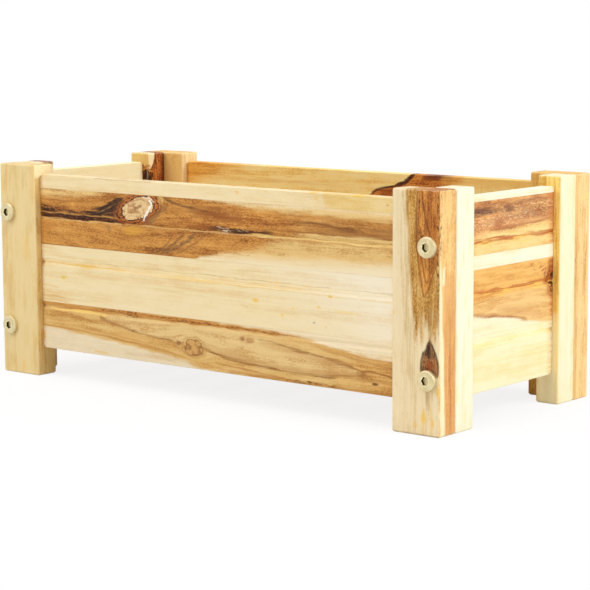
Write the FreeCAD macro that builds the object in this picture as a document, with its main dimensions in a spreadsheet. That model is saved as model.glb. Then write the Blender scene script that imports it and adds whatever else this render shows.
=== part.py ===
import FreeCAD, Part
import os
import Sketcher

# A knock-down wooden planter trough: four dowelled side frames, bolted together at L-shaped corner
# posts, with a slatted floor on two cleats.
# Frame: millimetres, +X along the long side, +Z up, origin on the ground under the middle.

doc = FreeCAD.newDocument("wooden_crate_planter")

driving_sizes = [
    ("length", 440.0, "over the corner posts, left to right"),
    ("depth", 196.0, "over the corner posts, front to back"),
    ("height", 172.0, "ground to post tops"),
    ("side_post_width", 41.0, "post on the long side, seen from the front"),
    ("side_post_thick", 20.0, "the same post, front to back"),
    ("end_post_width", 20.0, "post on the end side, left to right"),
    ("end_post_depth", 22.0, "the same post, front to back"),
    ("post_ease", 1.6, "rounding of post edges"),
    ("foot_bevel", 1.2, "bevel round the foot of each post"),
    ("panel_thick", 9.0, "edge-glued panel board"),
    ("panel_drop", 7.5, "panel top edge below the post tops"),
    ("foot_gap", 23.0, "panel bottom edge above the ground"),
    ("panel_ease", 0.8, "rounding of the panel edges"),
    ("panel_corner", 4.0, "rounding of the panel's outer corners, seen from its face"),
    ("groove_pitch", 36.5, "between V-grooves, the middle one halfway up the panel"),
    ("groove_width", 5.0, "V-groove across the panel face"),
    ("groove_depth", 1.5, "V-groove into the panel face"),
    ("front_strip_1", 11.0, "width of the top strip of the front panel"),
    ("front_strip_2", 45.5, "second strip"),
    ("front_strip_4", 38.5, "bottom strip, the one above it fills what is left"),
    ("back_strip_1", 29.0, "top strip of the back panel"),
    ("back_strip_2", 38.0, "second strip"),
    ("back_strip_4", 30.0, "bottom strip"),
    ("right_strip_1", 4.5, "top strip of the right end panel, an offcut"),
    ("right_strip_2", 38.0, "second strip"),
    ("right_strip_3", 10.0, "third strip"),
    ("right_strip_5", 41.0, "bottom strip"),
    ("left_strip_1", 44.0, "top strip of the left end panel"),
    ("left_strip_2", 38.0, "second strip"),
    ("left_strip_4", 20.0, "bottom strip"),
    ("dowel_size", 6.0, "dowel diameter"),
    ("dowel_bevel", 0.8, "lead-in on both ends of a dowel"),
    ("side_dowel_length", 30.0, "dowel between a long panel and its post"),
    ("side_dowel_top", 5.5, "first dowel below the long panel's top edge"),
    ("side_dowel_bottom", 18.5, "last dowel above the long panel's bottom edge"),
    ("end_dowel_length", 18.0, "dowel between an end panel and its post"),
    ("end_dowel_top", 13.0, "first dowel below the end panel's top edge"),
    ("end_dowel_bottom", 28.0, "last dowel above the end panel's bottom edge"),
    ("fit_gap", 0.1, "all round a dowel, insert or screw in its hole"),
    ("end_gap", 0.5, "past the end of a dowel, insert or screw"),
    ("bolt_inset", 39.5, "bolt from the ground, and from the post tops"),
    ("bolt_size", 8.0, "bolt shank diameter"),
    ("bolt_length", 30.0, "under the head"),
    ("bolt_bevel", 1.0, "lead-in at the end of the shank"),
    ("head_size", 15.0, "flat bolt head diameter"),
    ("head_thick", 3.0, "flat bolt head"),
    ("head_bevel", 0.8, "bevel round the head"),
    ("socket_flats", 6.0, "hexagon socket across flats"),
    ("socket_depth", 2.6, "hexagon socket"),
    ("bolt_play", 0.25, "all round a bolt in the side post"),
    ("insert_size", 12.0, "sleeve insert diameter"),
    ("insert_length", 11.0, "sleeve insert"),
    ("insert_bevel", 1.0, "lead-in of the insert"),
    ("cleat_width", 20.0, "floor cleat, front to back"),
    ("cleat_height", 14.0, "floor cleat"),
    ("cleat_lift", 3.0, "cleat bottom above the panel's bottom edge"),
    ("cleat_play", 1.0, "cleat end to side post"),
    ("slat_thick", 9.0, "floor slat"),
    ("slat_gap", 8.0, "between floor slats"),
    ("slat_ease", 0.8, "rounding of the top edges of a slat"),
    ("floor_end_gap", 12.0, "last slat to end post"),
    ("floor_side_gap", 1.0, "slat end to side post"),
    ("screw_size", 3.5, "wood screw shank diameter"),
    ("screw_head", 7.0, "countersunk head diameter"),
    ("screw_point", 4.0, "tapered tip of a screw"),
    ("slat_screw_length", 20.0, "slat screw, over all"),
    ("cleat_screw_length", 25.0, "cleat screw, over all"),
]

sizes = doc.addObject("Spreadsheet::Sheet", "sizes")
for row, (alias, number, note) in enumerate(driving_sizes, start=1):
    sizes.set(f"A{row}", alias)
    sizes.set(f"B{row}", str(number))
    sizes.set(f"C{row}", note)
    sizes.setAlias(f"B{row}", alias)
doc.recompute()

# Counts that the object is built around
groove_count = 3
front_strip_count = 4
back_strip_count = 4
right_strip_count = 5
left_strip_count = 4
slat_count = 8
side_dowel_count = 4
end_dowel_count = 3
cleat_screw_count = 4

# Sizes worked out from the driving ones, as expressions
panel_top = "(sizes.height - sizes.panel_drop)"
panel_height = "(sizes.height - sizes.panel_drop - sizes.foot_gap)"
side_panel_length = "(sizes.length - 2 * sizes.side_post_width)"
end_panel_length = "(sizes.depth - 2 * sizes.side_post_thick - 2 * sizes.end_post_depth)"
side_setback = "((sizes.side_post_thick - sizes.panel_thick) / 2)"
end_setback = "((sizes.end_post_width - sizes.panel_thick) / 2)"
bolt_low = "sizes.bolt_inset"
bolt_high = "(sizes.height - sizes.bolt_inset)"
bolt_from_middle = "(sizes.length / 2 - sizes.end_post_width / 2)"
insert_hole_depth = "(max(sizes.insert_length; sizes.bolt_length - sizes.side_post_thick) + sizes.end_gap)"
panel_inside = f"(sizes.depth / 2 - {side_setback} - sizes.panel_thick)"
cleat_length = f"({side_panel_length} - 2 * sizes.cleat_play)"
cleat_bottom = "(sizes.foot_gap + sizes.cleat_lift)"
cleat_top = "(sizes.foot_gap + sizes.cleat_lift + sizes.cleat_height)"
cleat_screw_height = "(sizes.foot_gap + sizes.cleat_lift + sizes.cleat_height / 2)"
floor_length = "(sizes.length - 2 * sizes.end_post_width - 2 * sizes.floor_end_gap)"
slat_width = f"(({floor_length} - {slat_count - 1} * sizes.slat_gap) / {slat_count})"
slat_pitch = f"({slat_width} + sizes.slat_gap)"
slat_length = "(sizes.depth - 2 * sizes.side_post_thick - 2 * sizes.floor_side_gap)"
slat_bearing = f"({slat_length} / 2 - {panel_inside} + sizes.cleat_width)"
slat_screw_place = f"({slat_length} / 2 - {slat_bearing} / 2)"
head_seat = "((sizes.screw_head - sizes.screw_size) / 2)"


def value(expression):
    return float(sizes.evalExpression(expression))


def new_body(label, turn=0.0, x="0", y="0", z="0", many=False):
    body = doc.addObject("PartDesign::Body", label)
    body.Label = label
    body.AllowCompound = many
    body.Placement = FreeCAD.Placement(
        FreeCAD.Vector(0, 0, 0), FreeCAD.Rotation(FreeCAD.Vector(0, 0, 1), turn))
    for axis, expression in zip("xyz", (x, y, z)):
        body.setExpression(f"Placement.Base.{axis}", expression)
    return body


def origin_item(body, role):
    return [item for item in body.Origin.OriginFeatures if item.Role == role][0]


def new_sketch(body, name, plane, offset="0"):
    sketch = body.newObject("Sketcher::SketchObject", name)
    sketch.AttachmentSupport = [(origin_item(body, plane), "")]
    sketch.MapMode = "FlatFace"
    sketch.setExpression("AttachmentOffset.Base.z", offset)
    return sketch


def tie_point(sketch, geometry, position, x, y):
    # One vertex or centre, held at x, y from the sketch origin
    for kind, axis_line, expression in (("DistanceX", -2, x), ("DistanceY", -1, y)):
        if expression == "0":
            sketch.addConstraint(Sketcher.Constraint("PointOnObject", geometry, position, axis_line))
        else:
            number = value(expression)
            index = sketch.addConstraint(
                Sketcher.Constraint(kind, -1, 1, geometry, position, number))
            sketch.setExpression(f"Constraints[{index}]", expression)


def draw_polygon(sketch, corners):
    points = [FreeCAD.Vector(value(x), value(y), 0) for x, y in corners]
    lines = []
    for start, end in zip(points, points[1:] + points[:1]):
        lines.append(sketch.addGeometry(Part.LineSegment(start, end)))
    for line, following in zip(lines, lines[1:] + lines[:1]):
        sketch.addConstraint(Sketcher.Constraint("Coincident", line, 2, following, 1))
    for line, (x, y) in zip(lines, corners):
        tie_point(sketch, line, 1, x, y)


def draw_rectangle(sketch, x_low, x_high, y_low, y_high):
    draw_polygon(sketch, [(x_low, y_low), (x_high, y_low), (x_high, y_high), (x_low, y_high)])


def draw_circle(sketch, x, y, diameter):
    centre = FreeCAD.Vector(value(x), value(y), 0)
    circle = sketch.addGeometry(
        Part.Circle(centre, FreeCAD.Vector(0, 0, 1), value(diameter) / 2))
    tie_point(sketch, circle, 3, x, y)
    index = sketch.addConstraint(Sketcher.Constraint("Diameter", circle, value(diameter)))
    sketch.setExpression(f"Constraints[{index}]", diameter)


def add_pad(body, name, sketch, length, both_ways=False):
    pad = body.newObject("PartDesign::Pad", name)
    pad.Profile = sketch
    pad.setExpression("Length", length)
    pad.SideType = "Symmetric" if both_ways else "One side"
    return pad


def add_pocket(body, name, sketch, depth=None, forward=False):
    # With no depth the cut runs through the whole piece, both ways from the sketch
    pocket = body.newObject("PartDesign::Pocket", name)
    pocket.Profile = sketch
    if depth is None:
        pocket.SideType = "Symmetric"
        pocket.Type = "ThroughAll"
    else:
        pocket.setExpression("Length", depth)
        pocket.Reversed = forward
    doc.recompute()
    if pocket.Shape.Volume >= pocket.BaseFeature.Shape.Volume:
        raise ValueError(f"{body.Label}: {name} cuts nothing")
    return pocket


def add_revolution(body, name, sketch):
    revolution = body.newObject("PartDesign::Revolution", name)
    revolution.Profile = sketch
    revolution.ReferenceAxis = (sketch, ["V_Axis"])
    revolution.Angle = 360.0
    return revolution


def dress_edges(body, kind, name, size_name, size, chosen):
    # Rounds or bevels the edges of the last feature that chosen picks
    doc.recompute()
    base = body.Tip
    names = [f"Edge{index}" for index, edge in enumerate(base.Shape.Edges, start=1) if chosen(edge)]
    dressing = body.newObject(f"PartDesign::{kind}", name)
    dressing.Base = (base, names)
    dressing.setExpression(size_name, size)
    return dressing


def mirror_ends(body, name, features):
    mirrored = body.newObject("PartDesign::Mirrored", name)
    mirrored.Originals = features
    mirrored.MirrorPlane = (origin_item(body, "YZ_Plane"), [""])
    body.Tip = mirrored
    return mirrored


def repeat(body, name, features, along_x, count_x, other_axis=None, along_other="0", count_other=1):
    pattern = body.newObject("PartDesign::LinearPattern", name)
    pattern.Originals = features
    pattern.Direction = (origin_item(body, "X_Axis"), [""])
    pattern.setExpression("Length", along_x)
    pattern.Occurrences = count_x
    if other_axis:
        pattern.Direction2 = (origin_item(body, other_axis), [""])
        pattern.setExpression("Length2", along_other)
        pattern.Occurrences2 = count_other
    body.Tip = pattern
    return pattern


def edge_heights(edge):
    return [vertex.Z for vertex in edge.Vertexes]


def at_height(expression):
    level = value(expression)
    return lambda edge: all(abs(z - level) < 1e-4 for z in edge_heights(edge))


def edges_at(height, length):
    on_level = at_height(height)
    return lambda edge: on_level(edge) and abs(edge.Length - value(length)) < 1e-4


def upright(edge):
    heights = edge_heights(edge)
    return abs(max(heights) - min(heights) - edge.Length) < 1e-4


# Places along the height of a panel

def groove_heights():
    middle = f"({panel_top} - {panel_height} / 2)"
    return [f"({middle} + {(groove_count + 1) / 2 - number} * sizes.groove_pitch)"
            for number in range(1, groove_count + 1)]


def dowel_heights(kind, count):
    top = f"({panel_top} - sizes.{kind}_dowel_top)"
    bottom = f"(sizes.foot_gap + sizes.{kind}_dowel_bottom)"
    return [f"({top} - ({top} - {bottom}) * {number} / {count - 1})" for number in range(count)]


def joint_heights(side):
    # The strip above the bottom one is ripped to fill what the others leave
    count = {"front": front_strip_count, "back": back_strip_count,
             "right": right_strip_count, "left": left_strip_count}[side]
    heights = [panel_top]
    for number in range(1, count - 1):
        heights.append(f"({heights[-1]} - sizes.{side}_strip_{number})")
    heights.append(f"(sizes.foot_gap + sizes.{side}_strip_{count})")
    heights.append("sizes.foot_gap")
    return heights


def within(height, half_width, low, high):
    middle = value(height)
    return middle + half_width > value(low) and middle - half_width < value(high)


side_dowels = dowel_heights("side", side_dowel_count)
end_dowels = dowel_heights("end", end_dowel_count)
dowel_hole = "(sizes.dowel_size + 2 * sizes.fit_gap)"
side_dowel_hole_depth = "(sizes.side_dowel_length / 2 + sizes.end_gap)"
end_dowel_hole_depth = "(sizes.end_dowel_length / 2 + sizes.end_gap)"
screw_hole = "(sizes.screw_size + 2 * sizes.fit_gap)"


def ease_post(body):
    foot = value("sizes.foot_bevel")
    dress_edges(body, "Fillet", "eased_edges", "Radius", "sizes.post_ease",
                lambda edge: max(edge_heights(edge)) > foot)
    on_ground = at_height("0")
    dress_edges(body, "Chamfer", "foot_bevel", "Size", "sizes.foot_bevel", on_ground)


def make_side_post(label, hand, turn):
    # Wide post of a long side. Local X runs outwards from the panel joint, local Y inwards.
    out = 1 if turn == 0 else -1
    body = new_body(label, turn,
                    x=f"{out * hand} * {side_panel_length} / 2",
                    y=f"{-out} * sizes.depth / 2")
    section = new_sketch(body, "section", "XY_Plane")
    draw_rectangle(section, "0", f"{hand} * sizes.side_post_width", "0", "sizes.side_post_thick")
    add_pad(body, "post", section, "sizes.height")
    ease_post(body)
    bolts = new_sketch(body, "bolt_places", "XZ_Plane")
    for height in (bolt_low, bolt_high):
        draw_circle(bolts, f"{hand} * (sizes.side_post_width - sizes.end_post_width / 2)", height,
                    "sizes.bolt_size + 2 * sizes.bolt_play")
    add_pocket(body, "bolt_holes", bolts)
    dowels = new_sketch(body, "dowel_places", "YZ_Plane")
    for height in side_dowels:
        draw_circle(dowels, "sizes.side_post_thick / 2", height, dowel_hole)
    add_pocket(body, "dowel_holes", dowels, side_dowel_hole_depth, forward=hand > 0)
    return body


def make_end_post(label, hand, turn):
    # Narrow post of an end side, behind the side post. Local Y runs inwards from their seam.
    out = 1 if turn == 0 else -1
    body = new_body(label, turn,
                    x=f"{out * hand} * (sizes.length / 2 - sizes.end_post_width)",
                    y=f"{-out} * (sizes.depth / 2 - sizes.side_post_thick)")
    section = new_sketch(body, "section", "XY_Plane")
    draw_rectangle(section, "0", f"{hand} * sizes.end_post_width", "0", "sizes.end_post_depth")
    add_pad(body, "post", section, "sizes.height")
    ease_post(body)
    middle = f"{hand} * sizes.end_post_width / 2"
    inserts = new_sketch(body, "insert_places", "XZ_Plane")
    for height in (bolt_low, bolt_high):
        draw_circle(inserts, middle, height, "sizes.insert_size + 2 * sizes.fit_gap")
    add_pocket(body, "insert_holes", inserts, insert_hole_depth)
    dowels = new_sketch(body, "dowel_places", "XZ_Plane", "-sizes.end_post_depth")
    for height in end_dowels:
        draw_circle(dowels, middle, height, dowel_hole)
    add_pocket(body, "dowel_holes", dowels, end_dowel_hole_depth, forward=True)
    return body


def round_panel_edge(body, name, height, length):
    # Two rounded corners, then an eased edge that follows them down to the next strip
    dress_edges(body, "Fillet", f"{name}_corners", "Radius", "sizes.panel_corner",
                edges_at(height, "sizes.panel_thick"))
    dress_edges(body, "Fillet", f"eased_{name}", "Radius", "sizes.panel_ease",
                edges_at(height, f"{length} - 2 * sizes.panel_corner"))


def make_strip(label, side, number, panel):
    # One edge-glued strip. Local X runs along the panel, local Y inwards from its outer face.
    heights = joint_heights(side)
    high = heights[number - 1]
    low = heights[number]
    body = new_body(label, panel["turn"], x=panel["x"], y=panel["y"])
    section = new_sketch(body, "section", "YZ_Plane")
    draw_rectangle(section, "0", "sizes.panel_thick", low, high)
    add_pad(body, "strip", section, panel["length"], both_ways=True)
    if number == 1:
        round_panel_edge(body, "top", high, panel["length"])
    elif number == len(heights) - 1:
        round_panel_edge(body, "bottom", low, panel["length"])
    else:
        dress_edges(body, "Fillet", "eased_ends", "Radius", "sizes.panel_ease", upright)
    half_groove = value("sizes.groove_width") / 2
    grooves = [height for height in groove_heights() if within(height, half_groove, low, high)]
    if grooves:
        profile = new_sketch(body, "groove_profile", "YZ_Plane")
        for height in grooves:
            draw_polygon(profile, [("sizes.groove_depth", height),
                                   ("-sizes.groove_depth", f"{height} + sizes.groove_width"),
                                   ("-sizes.groove_depth", f"{height} - sizes.groove_width")])
        add_pocket(body, "grooves", profile)
    half_dowel = value(dowel_hole) / 2
    dowels = [height for height in panel["dowels"] if within(height, half_dowel, low, high)]
    if dowels:
        places = new_sketch(body, "dowel_places", "YZ_Plane", f"{panel['length']} / 2")
        for height in dowels:
            draw_circle(places, "sizes.panel_thick / 2", height, dowel_hole)
        holes = add_pocket(body, "dowel_holes", places, panel["dowel_hole_depth"])
        mirror_ends(body, "dowel_holes_both_ends", [holes])
    half_screw = value(screw_hole) / 2
    if panel["carries_cleat"] and within(cleat_screw_height, half_screw, low, high):
        pilots = new_sketch(body, "cleat_screw_places", "XZ_Plane", "-sizes.panel_thick")
        for place in cleat_screw_places():
            draw_circle(pilots, place, cleat_screw_height, screw_hole)
        add_pocket(body, "cleat_screw_holes", pilots,
                   "sizes.cleat_screw_length - sizes.cleat_width + sizes.end_gap", forward=True)
    return body


def make_dowels(label, panel):
    body = new_body(label, panel["turn"], x=panel["x"], y=panel["y"], many=True)
    start = f"{panel['length']} / 2 - {panel['dowel_length']} / 2"
    section = new_sketch(body, "section", "YZ_Plane", start)
    for height in panel["dowels"]:
        draw_circle(section, "sizes.panel_thick / 2", height, "sizes.dowel_size")
    dowels = add_pad(body, "dowels", section, panel["dowel_length"])
    lead_in = dress_edges(body, "Chamfer", "lead_in", "Size", "sizes.dowel_bevel",
                          lambda edge: len(edge.Vertexes) == 1)
    mirror_ends(body, "dowels_both_ends", [dowels, lead_in])
    return body


def cleat_screw_places():
    return [f"({2 * number - cleat_screw_count + 1} * {slat_pitch})" for number in range(cleat_screw_count)]


def slat_places():
    return [f"(({number} - {(slat_count - 1) / 2}) * {slat_pitch})" for number in range(slat_count)]


def make_bolts(label, out):
    # Local Y runs from the head towards the tip, from the seat under the head
    turn = 0 if out > 0 else 180
    body = new_body(label, turn, x=f"{-out} * {bolt_from_middle}", y=f"{-out} * sizes.depth / 2",
                    z=bolt_low, many=True)
    head = "sizes.head_size / 2"
    shank = "sizes.bolt_size / 2"
    profile = new_sketch(body, "profile", "XY_Plane")
    draw_polygon(profile, [("0", "-sizes.head_thick"),
                           (f"{head} - sizes.head_bevel", "-sizes.head_thick"),
                           (head, "-sizes.head_thick + sizes.head_bevel"),
                           (head, "0"),
                           (shank, "0"),
                           (shank, "sizes.bolt_length - sizes.bolt_bevel"),
                           (f"{shank} - sizes.bolt_bevel", "sizes.bolt_length"),
                           ("0", "sizes.bolt_length")])
    turned = add_revolution(body, "turned_bolt", profile)
    socket = new_sketch(body, "socket_profile", "XZ_Plane", "sizes.head_thick")
    across_corners = "sizes.socket_flats / sqrt(3)"
    draw_polygon(socket, [(f"{across_corners} * cos({60 * corner} deg)",
                           f"{across_corners} * sin({60 * corner} deg)") for corner in range(6)])
    hexagon = add_pocket(body, "hexagon_socket", socket, "sizes.socket_depth")
    repeat(body, "four_bolts", [turned, hexagon], f"2 * {bolt_from_middle}", 2,
           "Z_Axis", f"{bolt_high} - {bolt_low}", 2)
    return body


def make_inserts(label, out):
    # Sleeve inserts in the end posts, mouths flush with the seam against the side posts
    turn = 0 if out > 0 else 180
    body = new_body(label, turn, x=f"{-out} * {bolt_from_middle}",
                    y=f"{-out} * (sizes.depth / 2 - sizes.side_post_thick)", z=bolt_low, many=True)
    outside = "sizes.insert_size / 2"
    bore = "sizes.bolt_size / 2 + sizes.fit_gap"
    profile = new_sketch(body, "profile", "XY_Plane")
    draw_polygon(profile, [(bore, "0"),
                           (outside, "0"),
                           (outside, "sizes.insert_length - sizes.insert_bevel"),
                           (f"{outside} - sizes.insert_bevel", "sizes.insert_length"),
                           (bore, "sizes.insert_length")])
    sleeve = add_revolution(body, "sleeve", profile)
    repeat(body, "four_inserts", [sleeve], f"2 * {bolt_from_middle}", 2,
           "Z_Axis", f"{bolt_high} - {bolt_low}", 2)
    return body


def make_cleat(label, out):
    # Local Y runs inwards from the panel, local Z up from the cleat's bottom
    turn = 0 if out > 0 else 180
    body = new_body(label, turn, y=f"{-out} * {panel_inside}", z=cleat_bottom)
    section = new_sketch(body, "section", "YZ_Plane")
    draw_rectangle(section, "0", "sizes.cleat_width", "0", "sizes.cleat_height")
    add_pad(body, "cleat", section, cleat_length, both_ways=True)
    sunk = new_sketch(body, "cleat_screw_places", "XZ_Plane", "-sizes.cleat_width")
    for place in cleat_screw_places():
        draw_circle(sunk, place, "sizes.cleat_height / 2", screw_hole)
    add_countersunk(body, "cleat_screw_holes", sunk, forward=True)
    pilots = new_sketch(body, "slat_screw_places", "XY_Plane", "sizes.cleat_height")
    for place in slat_places():
        draw_circle(pilots, place, f"{panel_inside} - {slat_screw_place}", screw_hole)
    add_pocket(body, "slat_screw_holes", pilots,
               "sizes.slat_screw_length - sizes.slat_thick + sizes.end_gap")
    return body


def add_countersunk(body, name, sketch, forward=False):
    doc.recompute()
    hole = body.newObject("PartDesign::Hole", name)
    hole.Profile = sketch
    doc.recompute()
    hole.ThreadType = "None"
    hole.setExpression("Diameter", screw_hole)
    hole.HoleCutType = "Countersink"
    hole.HoleCutCustomValues = True
    hole.setExpression("HoleCutDiameter", "sizes.screw_head + 2 * sizes.fit_gap")
    hole.HoleCutCountersinkAngle = 90.0
    hole.DepthType = "ThroughAll"
    hole.Reversed = forward
    doc.recompute()
    if hole.Shape.Volume >= hole.BaseFeature.Shape.Volume:
        raise ValueError(f"{body.Label}: {name} cuts nothing")
    return hole


def make_slat(label, place):
    body = new_body(label, x=place, z=cleat_top)
    section = new_sketch(body, "section", "XY_Plane")
    draw_rectangle(section, f"-{slat_width} / 2", f"{slat_width} / 2",
                   f"-{slat_length} / 2", f"{slat_length} / 2")
    add_pad(body, "slat", section, "sizes.slat_thick")
    dress_edges(body, "Fillet", "eased_top", "Radius", "sizes.slat_ease", at_height("sizes.slat_thick"))
    sunk = new_sketch(body, "screw_places", "XY_Plane", "sizes.slat_thick")
    for across in (f"-{slat_screw_place}", slat_screw_place):
        draw_circle(sunk, "0", across, screw_hole)
    add_countersunk(body, "screw_holes", sunk)
    return body


def draw_screw(body, plane, length):
    # Countersunk head flush at the origin, point along -Y of the sketch
    profile = new_sketch(body, "profile", plane)
    shank = "sizes.screw_size / 2"
    draw_polygon(profile, [("0", "0"),
                           ("sizes.screw_head / 2", "0"),
                           (shank, f"-{head_seat}"),
                           (shank, f"-({length} - sizes.screw_point)"),
                           ("0", f"-{length}")])
    return add_revolution(body, "screw", profile)


def make_slat_screws(label):
    body = new_body(label, x=slat_places()[0], y=f"-{slat_screw_place}",
                    z=f"{cleat_top} + sizes.slat_thick", many=True)
    screw = draw_screw(body, "XZ_Plane", "sizes.slat_screw_length")
    repeat(body, "all_screws", [screw], f"{slat_count - 1} * {slat_pitch}", slat_count,
           "Y_Axis", f"2 * {slat_screw_place}", 2)
    return body


def make_cleat_screws(label, out):
    turn = 0 if out > 0 else 180
    body = new_body(label, turn, x=f"{out} * {cleat_screw_places()[0]}",
                    y=f"{-out} * ({panel_inside} - sizes.cleat_width)", z=cleat_screw_height, many=True)
    screw = draw_screw(body, "XY_Plane", "sizes.cleat_screw_length")
    repeat(body, "all_screws", [screw], f"{2 * (cleat_screw_count - 1)} * {slat_pitch}", cleat_screw_count)
    return body


side_panel = {"length": side_panel_length, "dowels": side_dowels, "carries_cleat": True,
              "dowel_length": "sizes.side_dowel_length", "dowel_hole_depth": side_dowel_hole_depth}
end_panel = {"length": end_panel_length, "dowels": end_dowels, "carries_cleat": False,
             "dowel_length": "sizes.end_dowel_length", "dowel_hole_depth": end_dowel_hole_depth}
panels = {
    "front": {"turn": 0, "x": "0", "y": f"-(sizes.depth / 2 - {side_setback})", **side_panel},
    "back": {"turn": 180, "x": "0", "y": f"sizes.depth / 2 - {side_setback}", **side_panel},
    "right": {"turn": 90, "x": f"sizes.length / 2 - {end_setback}", "y": "0", **end_panel},
    "left": {"turn": -90, "x": f"-(sizes.length / 2 - {end_setback})", "y": "0", **end_panel},
}

bodies = []
for end, turn, right_hand in (("front", 0, 1), ("back", 180, -1)):
    for side, hand in (("left", -right_hand), ("right", right_hand)):
        bodies.append(make_side_post(f"{end}_{side}_side_post", hand, turn))
        bodies.append(make_end_post(f"{end}_{side}_end_post", hand, turn))
for side, panel in panels.items():
    for number in range(1, len(joint_heights(side))):
        bodies.append(make_strip(f"{side}_panel_strip_{number}", side, number, panel))
    bodies.append(make_dowels(f"{side}_panel_dowels", panel))
for end, out in (("front", 1), ("back", -1)):
    bodies.append(make_bolts(f"{end}_bolts", out))
    bodies.append(make_inserts(f"{end}_inserts", out))
    bodies.append(make_cleat(f"{end}_cleat", out))
    bodies.append(make_cleat_screws(f"{end}_cleat_screws", out))
for number, place in enumerate(slat_places(), start=1):
    bodies.append(make_slat(f"floor_slat_{number}", place))
bodies.append(make_slat_screws("slat_screws"))

doc.recompute()
for item in doc.Objects:
    if "Invalid" in item.State or "Error" in item.State:
        raise ValueError(f"{item.Label} failed: {item.State}")
for body in bodies:
    if body.Shape.isNull() or not body.Shape.isValid():
        raise ValueError(f"{body.Label} has no valid shape")

os.makedirs("parts", exist_ok=True)
for body in bodies:
    body.Shape.exportStep(f"parts/{body.Label}.step")
    print(f"{body.Label}: {len(body.Shape.Solids)} solid(s), {body.Shape.Volume:.1f} mm3")
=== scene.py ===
import math

import bpy
from mathutils import Matrix, Vector


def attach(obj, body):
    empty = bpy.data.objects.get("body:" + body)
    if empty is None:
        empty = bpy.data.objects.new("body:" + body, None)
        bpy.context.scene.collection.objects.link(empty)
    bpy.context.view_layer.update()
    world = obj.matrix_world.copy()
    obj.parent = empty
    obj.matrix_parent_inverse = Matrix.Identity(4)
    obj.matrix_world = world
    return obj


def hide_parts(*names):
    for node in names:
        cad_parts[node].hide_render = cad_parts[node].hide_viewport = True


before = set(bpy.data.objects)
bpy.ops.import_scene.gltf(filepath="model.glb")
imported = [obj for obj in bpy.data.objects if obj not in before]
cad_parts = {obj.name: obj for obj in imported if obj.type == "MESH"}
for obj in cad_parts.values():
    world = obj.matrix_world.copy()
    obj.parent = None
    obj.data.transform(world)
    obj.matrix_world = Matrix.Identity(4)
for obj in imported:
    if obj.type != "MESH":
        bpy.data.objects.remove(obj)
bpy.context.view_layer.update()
millimetre = 0.001
print("frame loaded with", len(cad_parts), "pieces")


def tone(red, green, blue):     # a colour as the eye sees it, 0 to 255
    def straight(part):
        part /= 255
        return part / 12.92 if part <= 0.04045 else ((part + 0.055) / 1.055) ** 2.4
    return (straight(red), straight(green), straight(blue), 1.0)


def scaled(colour, share):
    return tuple(part * share for part in colour[:3]) + (1.0,)


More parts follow.
